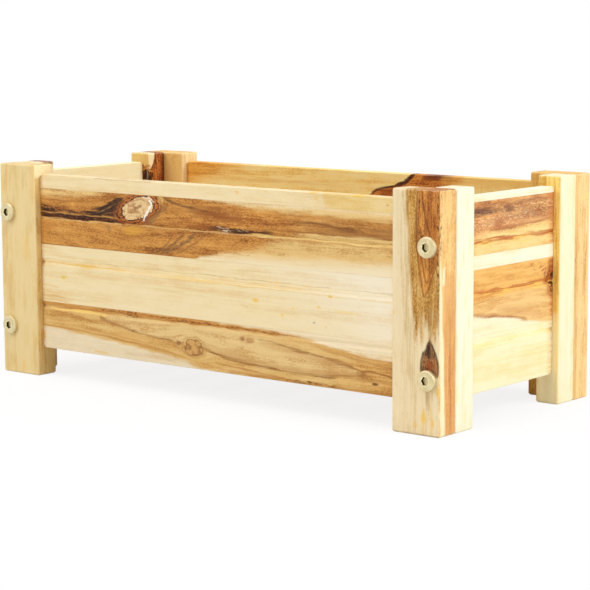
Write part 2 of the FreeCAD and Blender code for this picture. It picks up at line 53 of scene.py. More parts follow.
class Shade:        # a socket that can be added, scaled and mixed
    def __init__(self, tree, socket=None):
        self.tree, self.socket = tree, socket

    def node(self, kind, values=None, out=0, **settings):
        made = self.tree.nodes.new(kind)
        for name, setting in settings.items():
            if name == "points":
                line = made.mapping.curves[0].points
                for _ in setting[2:]:
                    line.new(0.5, 0.5)
                for point, place in zip(line, setting):
                    point.location = place
                made.mapping.update()
            elif name == "stops":
                elements = made.color_ramp.elements
                for _ in setting[2:]:
                    elements.new(0.5)
                for element, (place, colour) in zip(elements, setting):
                    element.position, element.color = place, colour
            else:
                setattr(made, name, setting)
        for key, value in (values or {}).items():
            if isinstance(value, Shade):
                self.tree.links.new(value.socket, made.inputs[key])
            else:
                made.inputs[key].default_value = value
        return Shade(self.tree, made.outputs[out])

    def math(self, operation, first, second=0.0, third=0.0):
        return self.node("ShaderNodeMath", {0: first, 1: second, 2: third}, operation=operation)

    def __add__(self, other):
        return self.math("ADD", self, other)

    def __sub__(self, other):
        return self.math("SUBTRACT", self, other)

    def __rsub__(self, other):
        return self.math("SUBTRACT", other, self)

    def __mul__(self, other):
        return self.math("MULTIPLY", self, other)

    def __truediv__(self, other):
        return self.math("DIVIDE", self, other)

    def __rtruediv__(self, other):
        return self.math("DIVIDE", other, self)

    def __abs__(self):
        return self.math("ABSOLUTE", self)

    __radd__ = __add__
    __rmul__ = __mul__

    def most(self, other):
        return self.math("MAXIMUM", self, other)

    def least(self, other):
        return self.math("MINIMUM", self, other)

    def root(self):
        return self.math("SQRT", self)

    def fract(self):
        return self.math("FRACT", self)

    def rise(self, low, high, start=0.0, end=1.0):      # soft step from start to end
        return self.node("ShaderNodeMapRange", {0: self, 1: low, 2: high, 3: start, 4: end},
                         interpolation_type="SMOOTHSTEP")

    def fall(self, low, high):
        return self.rise(low, high, 1.0, 0.0)

    def band(self, middle, inner, outer):       # 1 near the middle, 0 beyond the outer reach
        return abs(self - middle).fall(inner, outer)

    def unit(self, points):     # 0 at the first place, 1 at the last
        span = points[-1][0] - points[0][0]
        return self.math("MULTIPLY_ADD", self, 1 / span, -points[0][0] / span)

    def curve(self, points):        # self is a unit, points are (0 to 1, 0 to 1) pairs
        return self.node("ShaderNodeFloatCurve", {1: self}, points=points)

    def follow(self, points, unit=None):        # smooth line through (place, height) pairs
        if not isinstance(points, (list, tuple)):
            return points
        first, last = points[0][0], points[-1][0]
        low = min(height for _, height in points)
        span = max(height for _, height in points) - low
        if span == 0:
            return low
        places = [((place - first) / (last - first), (height - low) / span) for place, height in points]
        return self.math("MULTIPLY_ADD", (unit or self.unit(points)).curve(places), span, low)

    def ramp(self, stops):      # colour from (place, colour) pairs
        return self.node("ShaderNodeValToRGB", {0: self}, stops=stops)

    def split(self):
        made = self.node("ShaderNodeSeparateXYZ", {0: self})
        return [Shade(self.tree, part) for part in made.socket.node.outputs]

    def vector(self, x=0.0, y=0.0, z=0.0):
        return self.node("ShaderNodeCombineXYZ", {0: x, 1: y, 2: z})

    def noise(self, size, seed, detail):        # size of the marks along, across, through
        scale = tuple(1 / part for part in size)
        shift = (seed * 3.71, seed * 5.33, seed * 7.97)     # no two seeds read the same place
        place = self.node("ShaderNodeVectorMath", {0: self, 1: scale, 2: shift}, operation="MULTIPLY_ADD")
        return self.node("ShaderNodeTexNoise", {"Vector": place, "Scale": 1.0, "Detail": detail})

    def blend(self, under, over):       # self is the mask
        return self.node("ShaderNodeMix", {0: self, 6: under, 7: over}, 2, data_type="RGBA")

    def dim(self, amount):      # self is a colour
        return self.node("ShaderNodeVectorMath", {0: self, 3: amount}, operation="SCALE")

    def bump(self, strength, depth):
        return self.node("ShaderNodeBump", {"Strength": strength, "Distance": depth, "Height": self}, "Normal")


def strongest(masks):       # None where there are no masks
    whole = None
    for mask in masks:
        whole = mask if whole is None else whole.most(mask)
    return whole


def startMaterial(name, shelf=bpy.data.materials):
    material = shelf.new(name)
    material.use_nodes = True
    material.node_tree.nodes.clear()
    return material, Shade(material.node_tree)


def closeMaterial(skin, kind="ShaderNodeOutputMaterial"):
    output = skin.tree.nodes.new(kind)
    skin.tree.links.new(skin.socket, output.inputs["Surface"])


def inMillimetres(sheet, turn=(0, 0, 0)):
    place = sheet.node("ShaderNodeTexCoord", out="Object")
    return sheet.node("ShaderNodeMapping", {"Vector": place, "Rotation": turn, "Scale": (1 / millimetre,) * 3},
                      vector_type="POINT")


def dress(node, material):
    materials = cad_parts[node].data.materials
    materials.clear()
    materials.append(material)


# which of the object's axes run along the grain, across the face and out of the face
grainTurns = {
    "longPanel": ((1, 0, 0), (0, 0, 1), (0, -1, 0)),
    "endPanel": ((0, 1, 0), (0, 0, 1), (1, 0, 0)),
    "sidePost": ((0, 0, 1), (1, 0, 0), (0, 1, 0)),
    "endPost": ((0, 0, 1), (0, 1, 0), (-1, 0, 0)),
    "slat": ((0, 1, 0), (1, 0, 0), (0, 0, -1)),
}
# each mark's size along, across and through the grain, step of the seed, detail, and the levels it is cut at
markNoise = {
    "wander": ((150, 30, 30), 0, 2, None),
    "fibre": ((26, 0.8, 0.8), 1, 3, None),
    "ragged": ((18, 2.4, 2.4), 2, 4, (0.3, 0.7)),
    "waver": ((170, 8, 8), 3, 3, None),
    "pore": ((4.5, 0.9, 0.9), 4, 1, (0.6, 0.74)),
    "specks": ((3.5, 1.2, 1.2), 5, 2, None),
    "fleck": ((7, 1.8, 1.8), 6, 1, (0.72, 0.8)),
    "brush": ((34, 1.6, 1.6), 7, 3, (0.34, 0.66)),
    "grit": ((1.9, 0.8, 0.8), 8, 2, (0.3, 0.7)),
    "cloud": ((20, 8, 8), 9, 4, (0.32, 0.68)),
    "knotUneven": ((7, 5, 5), 12, 3, (0.3, 0.7)),
    "knotMottle": ((3.2, 2.2, 2.2), 13, 3, (0.32, 0.68)),
}
# what all boards share
finish = {
    "ringWaver": 7.0, "ringFray": 1.2, "growFray": 18, "rowShift": (700, 90), "rowShare": 0.4,
    "seamTone": tone(150, 104, 58), "seamHalf": (0.1, 0.5), "seamShare": 0.2,
    "endLine": tone(176, 120, 70), "endLineShare": 0.3, "endPore": tone(126, 82, 48), "endPoreShare": 0.25,
    "endGrain": 0.9, "wear": 0.35, "wearTone": tone(248, 231, 190),
    "grooveLevels": (130.25, 93.75, 57.25), "grooveHalf": 2.5,
    "fibreRough": 0.25, "poreRough": 0.18, "gloss": 0.22,
    "relief": {"fibre": 0.6, "line": 0.25, "grit": 0.2, "pore": -0.8}, "bump": 0.35, "bumpDepth": 0.00025,
}


def mark(place, seed, name):
    size, step, detail, levels = markNoise[name]
    made = place.noise(size, seed + step, detail)
    return made.rise(*levels) if levels else made


def knotFlow(run, over, eye):       # distance from a knot, 1 at its rim, and how far it pushes the grain
    lean = math.radians(eye["lean"])
    longHalf, wideHalf = eye["size"]
    alongKnot, acrossKnot = run - eye["at"][0], over - eye["at"][1]
    u = (alongKnot * math.cos(lean) + acrossKnot * math.sin(lean)) / longHalf
    v = (acrossKnot * math.cos(lean) - alongKnot * math.sin(lean)) / wideHalf
    reach = u * u + v * v
    return reach.root(), v * wideHalf / reach.most(1.0)


def readGrain(sheet, look):     # the places, faces and marks that paint is laid by
    turn = Matrix(grainTurns[look["turn"]]).to_euler("XYZ")
    seat = inMillimetres(sheet, turn)
    normal = sheet.node("ShaderNodeTexCoord", out="Normal")
    facing = sheet.node("ShaderNodeMapping", {"Vector": normal, "Rotation": turn}, vector_type="NORMAL")
    run, over, deep = seat.split()
    marks = {"faces": facing.split(), "rims": []}
    if "pitch" in look:     # each board of a row is cut from other wood
        row = sheet.math("FLOOR", over / look["pitch"])
        luck = sheet.node("ShaderNodeTexWhiteNoise", {"W": row}, "Value", noise_dimensions="1D")
        run, deep = run + luck * finish["rowShift"][0], deep + luck * finish["rowShift"][1]
        seat = sheet.vector(run, over, deep)
        marks["luck"] = luck

    # grain wanders, and flows round the knots
    seed = look["seed"]
    bent = over + (mark(seat, seed, "wander") - 0.5) * look["wander"]
    for eye in look["knots"]:
        reach, push = knotFlow(run, over, eye)
        bent = bent - push
        marks["rims"].append(reach)
    grain = sheet.vector(run, bent, deep)
    for name in ("fibre", "ragged", "waver", "pore", "specks", "brush", "grit", "cloud"):
        marks[name] = mark(grain, seed, name)
    marks["drift"] = marks["waver"].rise(0.34, 0.66)
    marks["fray"] = marks["ragged"] - 0.5
    marks["stroke"] = (marks["brush"] * 0.55 + 0.45) * (marks["grit"] * 0.5 + 0.75)
    marks["solid"] = marks["grit"] * 0.3 + 0.8

    # growth rings round a far pith line
    pithOver, pithDeep = look["pith"]
    offOver, offDeep = bent - pithOver, deep - pithDeep
    radius = (offOver * offOver + offDeep * offDeep).root() + run * look["taper"]
    uneven = radius + (marks["waver"] - 0.5) * finish["ringWaver"] + marks["fray"] * finish["ringFray"]
    ring = (uneven / look["ringGap"]).fract()
    marks["line"] = ring.rise(0.2, 0.86) * ring.fall(0.88, 1.0) * marks["brush"].rise(0.0, 0.8, 0.35, 1.0)
    return {**marks, "seat": seat, "grain": grain, "run": run, "over": over, "deep": deep}


def woodTone(marks, wood):      # one wood from its deepest to its lightest tone
    shade = 0.5 - marks["line"] * wood["line"] + wood["line"] * 0.3
    for name in ("drift", "brush", "cloud", "grit"):
        shade = shade + (marks[name] - 0.5) * wood[name]
    late, middle = wood["late"], wood["tone"]
    return shade.ramp([(0.0, wood.get("deep", scaled(late, 0.62))), (0.24, late), (0.5, middle),
                       (1.0, wood.get("light", scaled(middle, 1.12)))])


def zoneMask(marks, area):      # between a lower and an upper line, both frayed along the grain
    run = marks["run"]
    frayed = run.math("MULTIPLY_ADD", marks["fray"], area["ragged"], marks["over"])
    parts = []
    if "upper" in area:
        parts.append(((frayed - run.follow(area["upper"])) / run.follow(area["softUp"])).fall(-1, 1))
    if "lower" in area:
        parts.append(((frayed - run.follow(area["lower"])) / run.follow(area["softLow"])).rise(-1, 1))
    if "grow" in area:      # fades in along the board
        parts.append((run + marks["fray"] * finish["growFray"]).rise(*area["grow"]))
    return math.prod(parts, start=area["strength"])


def streakMask(marks, over, line):      # a line along the grain that fades at both ends
    run, path, half, soft = marks["run"], line["path"], line["half"], line["soft"]
    unit = run.unit(path)
    away = abs(run.math("MULTIPLY_ADD", marks["fray"], line["ragged"], over) - run.follow(path, unit))
    if isinstance(half, list):
        mask = (away - run.follow(half)).fall(-soft, soft)
    else:
        mask = away.fall(half - soft, half + soft)
    fade = min(line["fade"] / (path[-1][0] - path[0][0]), 0.49)
    mask = mask * unit.curve([(0, 0), (fade, line["strength"]), (1 - fade, line["strength"]), (1, 0)])
    if line["specks"]:
        return mask * marks["specks"].rise(0.38 + 0.14 * line["specks"], 0.64)
    return mask * marks["solid" if line["solid"] else "stroke"]


def spotMask(marks, blot):
    u = (marks["run"] - blot["at"][0]) / blot["size"][0]
    v = (marks["over"] - blot["at"][1]) / blot["size"][1]
    away = (u * u + v * v).root() + marks["fray"] * blot["ragged"] + (marks["grit"] - 0.5) * blot["grit"]
    return away.fall(0.3, 1.1) * blot["strength"]


def crackMask(marks, gap):      # a broken line through points
    run = marks["run"] + (marks["grit"] - 0.5) * 1.2
    over = marks["over"] + (marks["specks"] - 0.5) * 2
    legs = []
    for (ax, ay), (bx, by) in zip(gap["points"], gap["points"][1:]):
        dx, dy = bx - ax, by - ay
        part = (((run - ax) * dx + (over - ay) * dy) / (dx * dx + dy * dy)).most(0.0).least(1.0)
        alongGap, acrossGap = run - ax - part * dx, over - ay - part * dy
        away = (alongGap * alongGap + acrossGap * acrossGap).root()
        legs.append(away.fall(gap["half"] * 0.5, gap["half"] * 1.4))
    return strongest(legs) * gap["strength"]


def paintKnot(colour, marks, eye, reach, seed):     # halo, mottled core, then dark rings
    uneven, mottle = mark(marks["seat"], seed, "knotUneven"), mark(marks["seat"], seed, "knotMottle")
    inside = reach + (uneven - 0.5) * eye["ragged"] + (mottle - 0.5) * 0.1
    colour = (inside.fall(0.95, eye["haloReach"]) * eye["haloShare"]).blend(colour, eye["halo"])
    patch = (uneven * 0.5 + mottle * 0.5).rise(0.4, 0.8) * eye["speckShare"]
    colour = inside.fall(0.84, 0.96).blend(colour, patch.blend(eye["core"], eye["speck"]))
    ring = (inside * eye["rings"]).fract()
    ring = ring.rise(0.25, 0.6) * ring.fall(0.7, 0.98) * inside.rise(eye["ringFrom"], 0.84)
    ring = ring * inside.fall(1.08, eye["haloReach"]) * (mottle * 0.4 + 0.8)
    return (ring * eye["ringShare"]).least(1.0).blend(colour, eye["rim"])


def paintEdge(colour, marks, edge):     # the narrow side that shows is other wood; on the front-left side post its tone also holds painted shade, on the back-right end post painted light
    wood = woodTone(marks, edge)
    for line in edge["streaks"]:
        wood = streakMask(marks, marks["deep"], line).blend(wood, line["tone"])
    return (marks["faces"][1] * edge["sign"]).rise(0.5, 0.85).blend(colour, wood)


def paintGrooves(colour, marks, oilAndShade):        # oil and painted shade lie darker on a groove's upper facet, whose colour is also raised or lowered as painted light, with amber along its edges
    outer = (marks["deep"] * oilAndShade["side"]).rise(oilAndShade["level"] - 4, oilAndShade["level"] - 3)
    cuts = []
    for height in finish["grooveLevels"]:
        if not oilAndShade["low"] < height < oilAndShade["high"]:
            continue
        inGroove = (marks["over"] - height) / finish["grooveHalf"]
        cuts.append(inGroove.band(0, 1.0, 1.15) * outer)
        # painted light on the upper facet: its colour is scaled up or down
        colour = (inGroove.band(0.5, 0.5, 0.62) * outer).blend(colour, colour.dim(oilAndShade["lift"]))
        frayed = inGroove + marks["fray"] * 0.9
        # painted shade, with oil, darker on the upper facet
        shadow = frayed.band(0.42, 0.3, 0.75) * outer * (marks["brush"] * 0.5 + 0.6)
        colour = (shadow * oilAndShade["shadow"]).blend(colour, oilAndShade["dark"])
        lips = frayed.band(-0.1, 0.1, 0.4).most(inGroove.band(-1, 0.05, 0.3))
        lips = lips * marks["brush"].rise(0.3, 0.8) * outer
        colour = (lips * oilAndShade["amber"]).blend(colour, oilAndShade["tone"])
    return colour, strongest(cuts)


def paintRims(colour, marks, look, cut):        # seams, dusty ends, end grain and sanded edges
    for seam in look["seams"]:
        glue = marks["over"].band(seam, *finish["seamHalf"]) * marks["brush"] * finish["seamShare"]
        colour = glue.blend(colour, finish["seamTone"])
    if "ends" in look:      # glue, dust and painted shade where the board meets its post
        glueAndShade = (look["ends"] - abs(marks["run"])).fall(-0.5, look["endReach"]) * (marks["ragged"] * 0.6 + 0.4)
        colour = (glueAndShade * look["endShare"]).blend(colour, look["endTone"])
    endFace, edgeFace, broadFace = (abs(face) for face in marks["faces"])
    ending = (marks["line"] * finish["endLineShare"]).blend(colour, finish["endLine"])
    ending = (marks["pore"] * finish["endPoreShare"]).blend(ending, finish["endPore"])
    colour = (endFace.rise(0.7, 0.95) * finish["endGrain"]).blend(colour, ending)
    rounded = endFace.most(edgeFace).most(broadFace).fall(0.8, 0.97) * marks["ragged"].rise(0.1, 0.8)
    if cut is not None:
        rounded = rounded * (1 - cut)       # the facets of a groove keep their oil and painted shade
    return (rounded * finish["wear"]).blend(colour, finish["wearTone"])


def woodFinish(name, look):
    material, sheet = startMaterial(name)
    marks = readGrain(sheet, look)
    colour = woodTone(marks, look)
    if "luck" in marks:
        colour = (marks["luck"] * finish["rowShare"]).blend(colour, look["late"])
    hearts = []
    for area in look["zones"]:
        mask = zoneMask(marks, area)
        colour = mask.blend(colour, woodTone(marks, area))
        if area.get("heart"):
            hearts.append(mask)
    for line in look["streaks"]:
        colour = streakMask(marks, marks["over"], line).blend(colour, line["tone"])
    for blot in look["spots"]:
        colour = spotMask(marks, blot).blend(colour, blot["tone"])
    for eye, reach in zip(look["knots"], marks["rims"]):
        colour = paintKnot(colour, marks, eye, reach, look["seed"])
    if look["flecks"]:
        fleck = mark(marks["grain"], look["seed"], "fleck") * look["flecks"]
        colour = fleck.blend(colour, look["fleckTone"])
    if "edge" in look:
        colour = paintEdge(colour, marks, look["edge"])
    for gap in look["cracks"]:
        colour = crackMask(marks, gap).blend(colour, gap["tone"])
    cut = None
    if "groove" in look:
        colour, cut = paintGrooves(colour, marks, look["groove"])
    colour = paintRims(colour, marks, look, cut)

    # fine fibres and pores
    fibre, pore = marks["fibre"], marks["pore"]
    poreShare = look["pores"]
    if hearts:
        poreShare = strongest(hearts) * look["heartPores"] + poreShare
    colour = colour.dim(1 + (fibre - 0.5) * look["fibre"] - pore * poreShare)
    rough = (fibre - 0.5) * finish["fibreRough"] + pore * finish["poreRough"] + look["rough"]
    height = sum(marks[name] * share for name, share in finish["relief"].items())
    closeMaterial(sheet.node("ShaderNodeBsdfPrincipled", {
        "Base Color": colour, "Roughness": rough, "Normal": height.bump(finish["bump"], finish["bumpDepth"]),
        "Specular IOR Level": finish["gloss"]}))
    return material


# oil and painted shade for the grooves' upper facets
grooveOilAndShade = tone(112, 70, 34)
amber = tone(236, 192, 92)
drip = tone(238, 190, 84)
charcoal = tone(56, 30, 14)
smoke = tone(108, 74, 44)

# the woods that the boards are cut from
sapwood = {"tone": tone(238, 218, 173), "late": tone(226, 194, 136), "light": tone(240, 224, 190), "line": 0.07,
           "drift": 0.22, "brush": 0.1, "cloud": 0.13, "grit": 0.08, "pores": 0.03, "fibre": 0.07,
           "flecks": 0.4}
whiteSapwood = {**sapwood, "tone": tone(240, 233, 204), "late": tone(234, 216, 164),
                "light": tone(242, 238, 216), "fleckTone": tone(244, 232, 150)}
goldenWood = {"tone": tone(220, 182, 114), "late": tone(188, 134, 66), "light": tone(230, 198, 138),
              "line": 0.18, "drift": 0.22, "brush": 0.2, "cloud": 0.16, "grit": 0.2, "pores": 0.06,
              "fibre": 0.14}
heartwood = {"tone": tone(196, 135, 62), "late": tone(150, 90, 34), "deep": tone(84, 46, 18),
             "light": tone(226, 170, 88), "line": 0.14, "drift": 0.26, "brush": 0.26, "cloud": 0.26,
             "grit": 0.36, "heart": True}
# glue, dust and painted shade where the end panels meet their posts
endShade = {"ends": 56, "endReach": 11, "endShare": 0.6, "endTone": tone(182, 96, 26)}
endSapwood = {**whiteSapwood, **endShade}
endGolden = {**goldenWood, **endShade}


# places along a board, across it and sizes are in millimetres
def board(wood, turn, **changes):
    return {"wander": 6.0, "taper": 0.03, "endReach": 5.0, "endShare": 0.6, "endTone": tone(180, 118, 44),
            "heartPores": 0.22, "rough": 0.55, "flecks": 0, "fleckTone": amber, "zones": (), "streaks": (),
            "spots": (), "knots": (), "cracks": (), "seams": (), **wood, "turn": turn, **changes}


def zone(wood, **changes):
    return {"softUp": 1.5, "softLow": 1.5, "ragged": 1.8, "strength": 1.0, **wood, **changes}


def streak(path, half, colour, strength=0.7, **changes):
    return {"path": path, "half": half, "tone": colour, "strength": strength, "soft": 0.8, "fade": 8,
            "ragged": 1.2, "solid": False, "specks": 0, **changes}


def vein(path, half=0.6, colour=tone(128, 74, 30), strength=0.8):
    return streak(path, half, colour, strength, soft=0.7, ragged=1.0, fade=3)


def spot(at, size, colour, strength=0.6, ragged=0.7):
    return {"at": at, "size": size, "tone": colour, "strength": strength, "ragged": ragged, "grit": 0.3}


def drop(at, size, strength):
    return spot(at, size, drip, strength, 0.6)


def knot(at, size, core, rim, halo, **changes):
    return {"at": at, "size": size, "core": core, "rim": rim, "halo": halo, "lean": 0, "ragged": 0.22,
            "rings": 5.0, "ringFrom": 0.66, "ringShare": 0.8, "haloReach": 1.6, "haloShare": 0.6, "speck": rim,
            "speckShare": 0.4, **changes}


def crack(points, half, colour, strength):
    return {"points": points, "half": half, "tone": colour, "strength": strength}


def sideWood(sign, colour, late, streaks=(), **changes):
    return {"sign": sign, "tone": colour, "late": late, "streaks": streaks, "line": 0.25, "drift": 0.2,
            "brush": 0.2, "cloud": 0.2, "grit": 0.2, **changes}


def groove(side, level, low, high, **changes):
    return {"side": side, "level": level, "low": low, "high": high, "dark": grooveOilAndShade, "tone": amber,
            "lift": 1.12, "shadow": 0.3, "amber": 0.5, **changes}


def frontGroove(low, high, **changes):
    return groove(1, 92.5, low, high, **changes)


def endGroove(low, high, **changes):
    return groove(1, 214.5, low, high, **{"dark": tone(176, 84, 26), "tone": tone(252, 206, 96), **changes})


# the far grooves get painted shade on their upper facets and a lowered facet colour
def farGroove(level, low, high):
    return groove(-1, level, low, high, lift=0.86, shadow=0.35, amber=0.4)


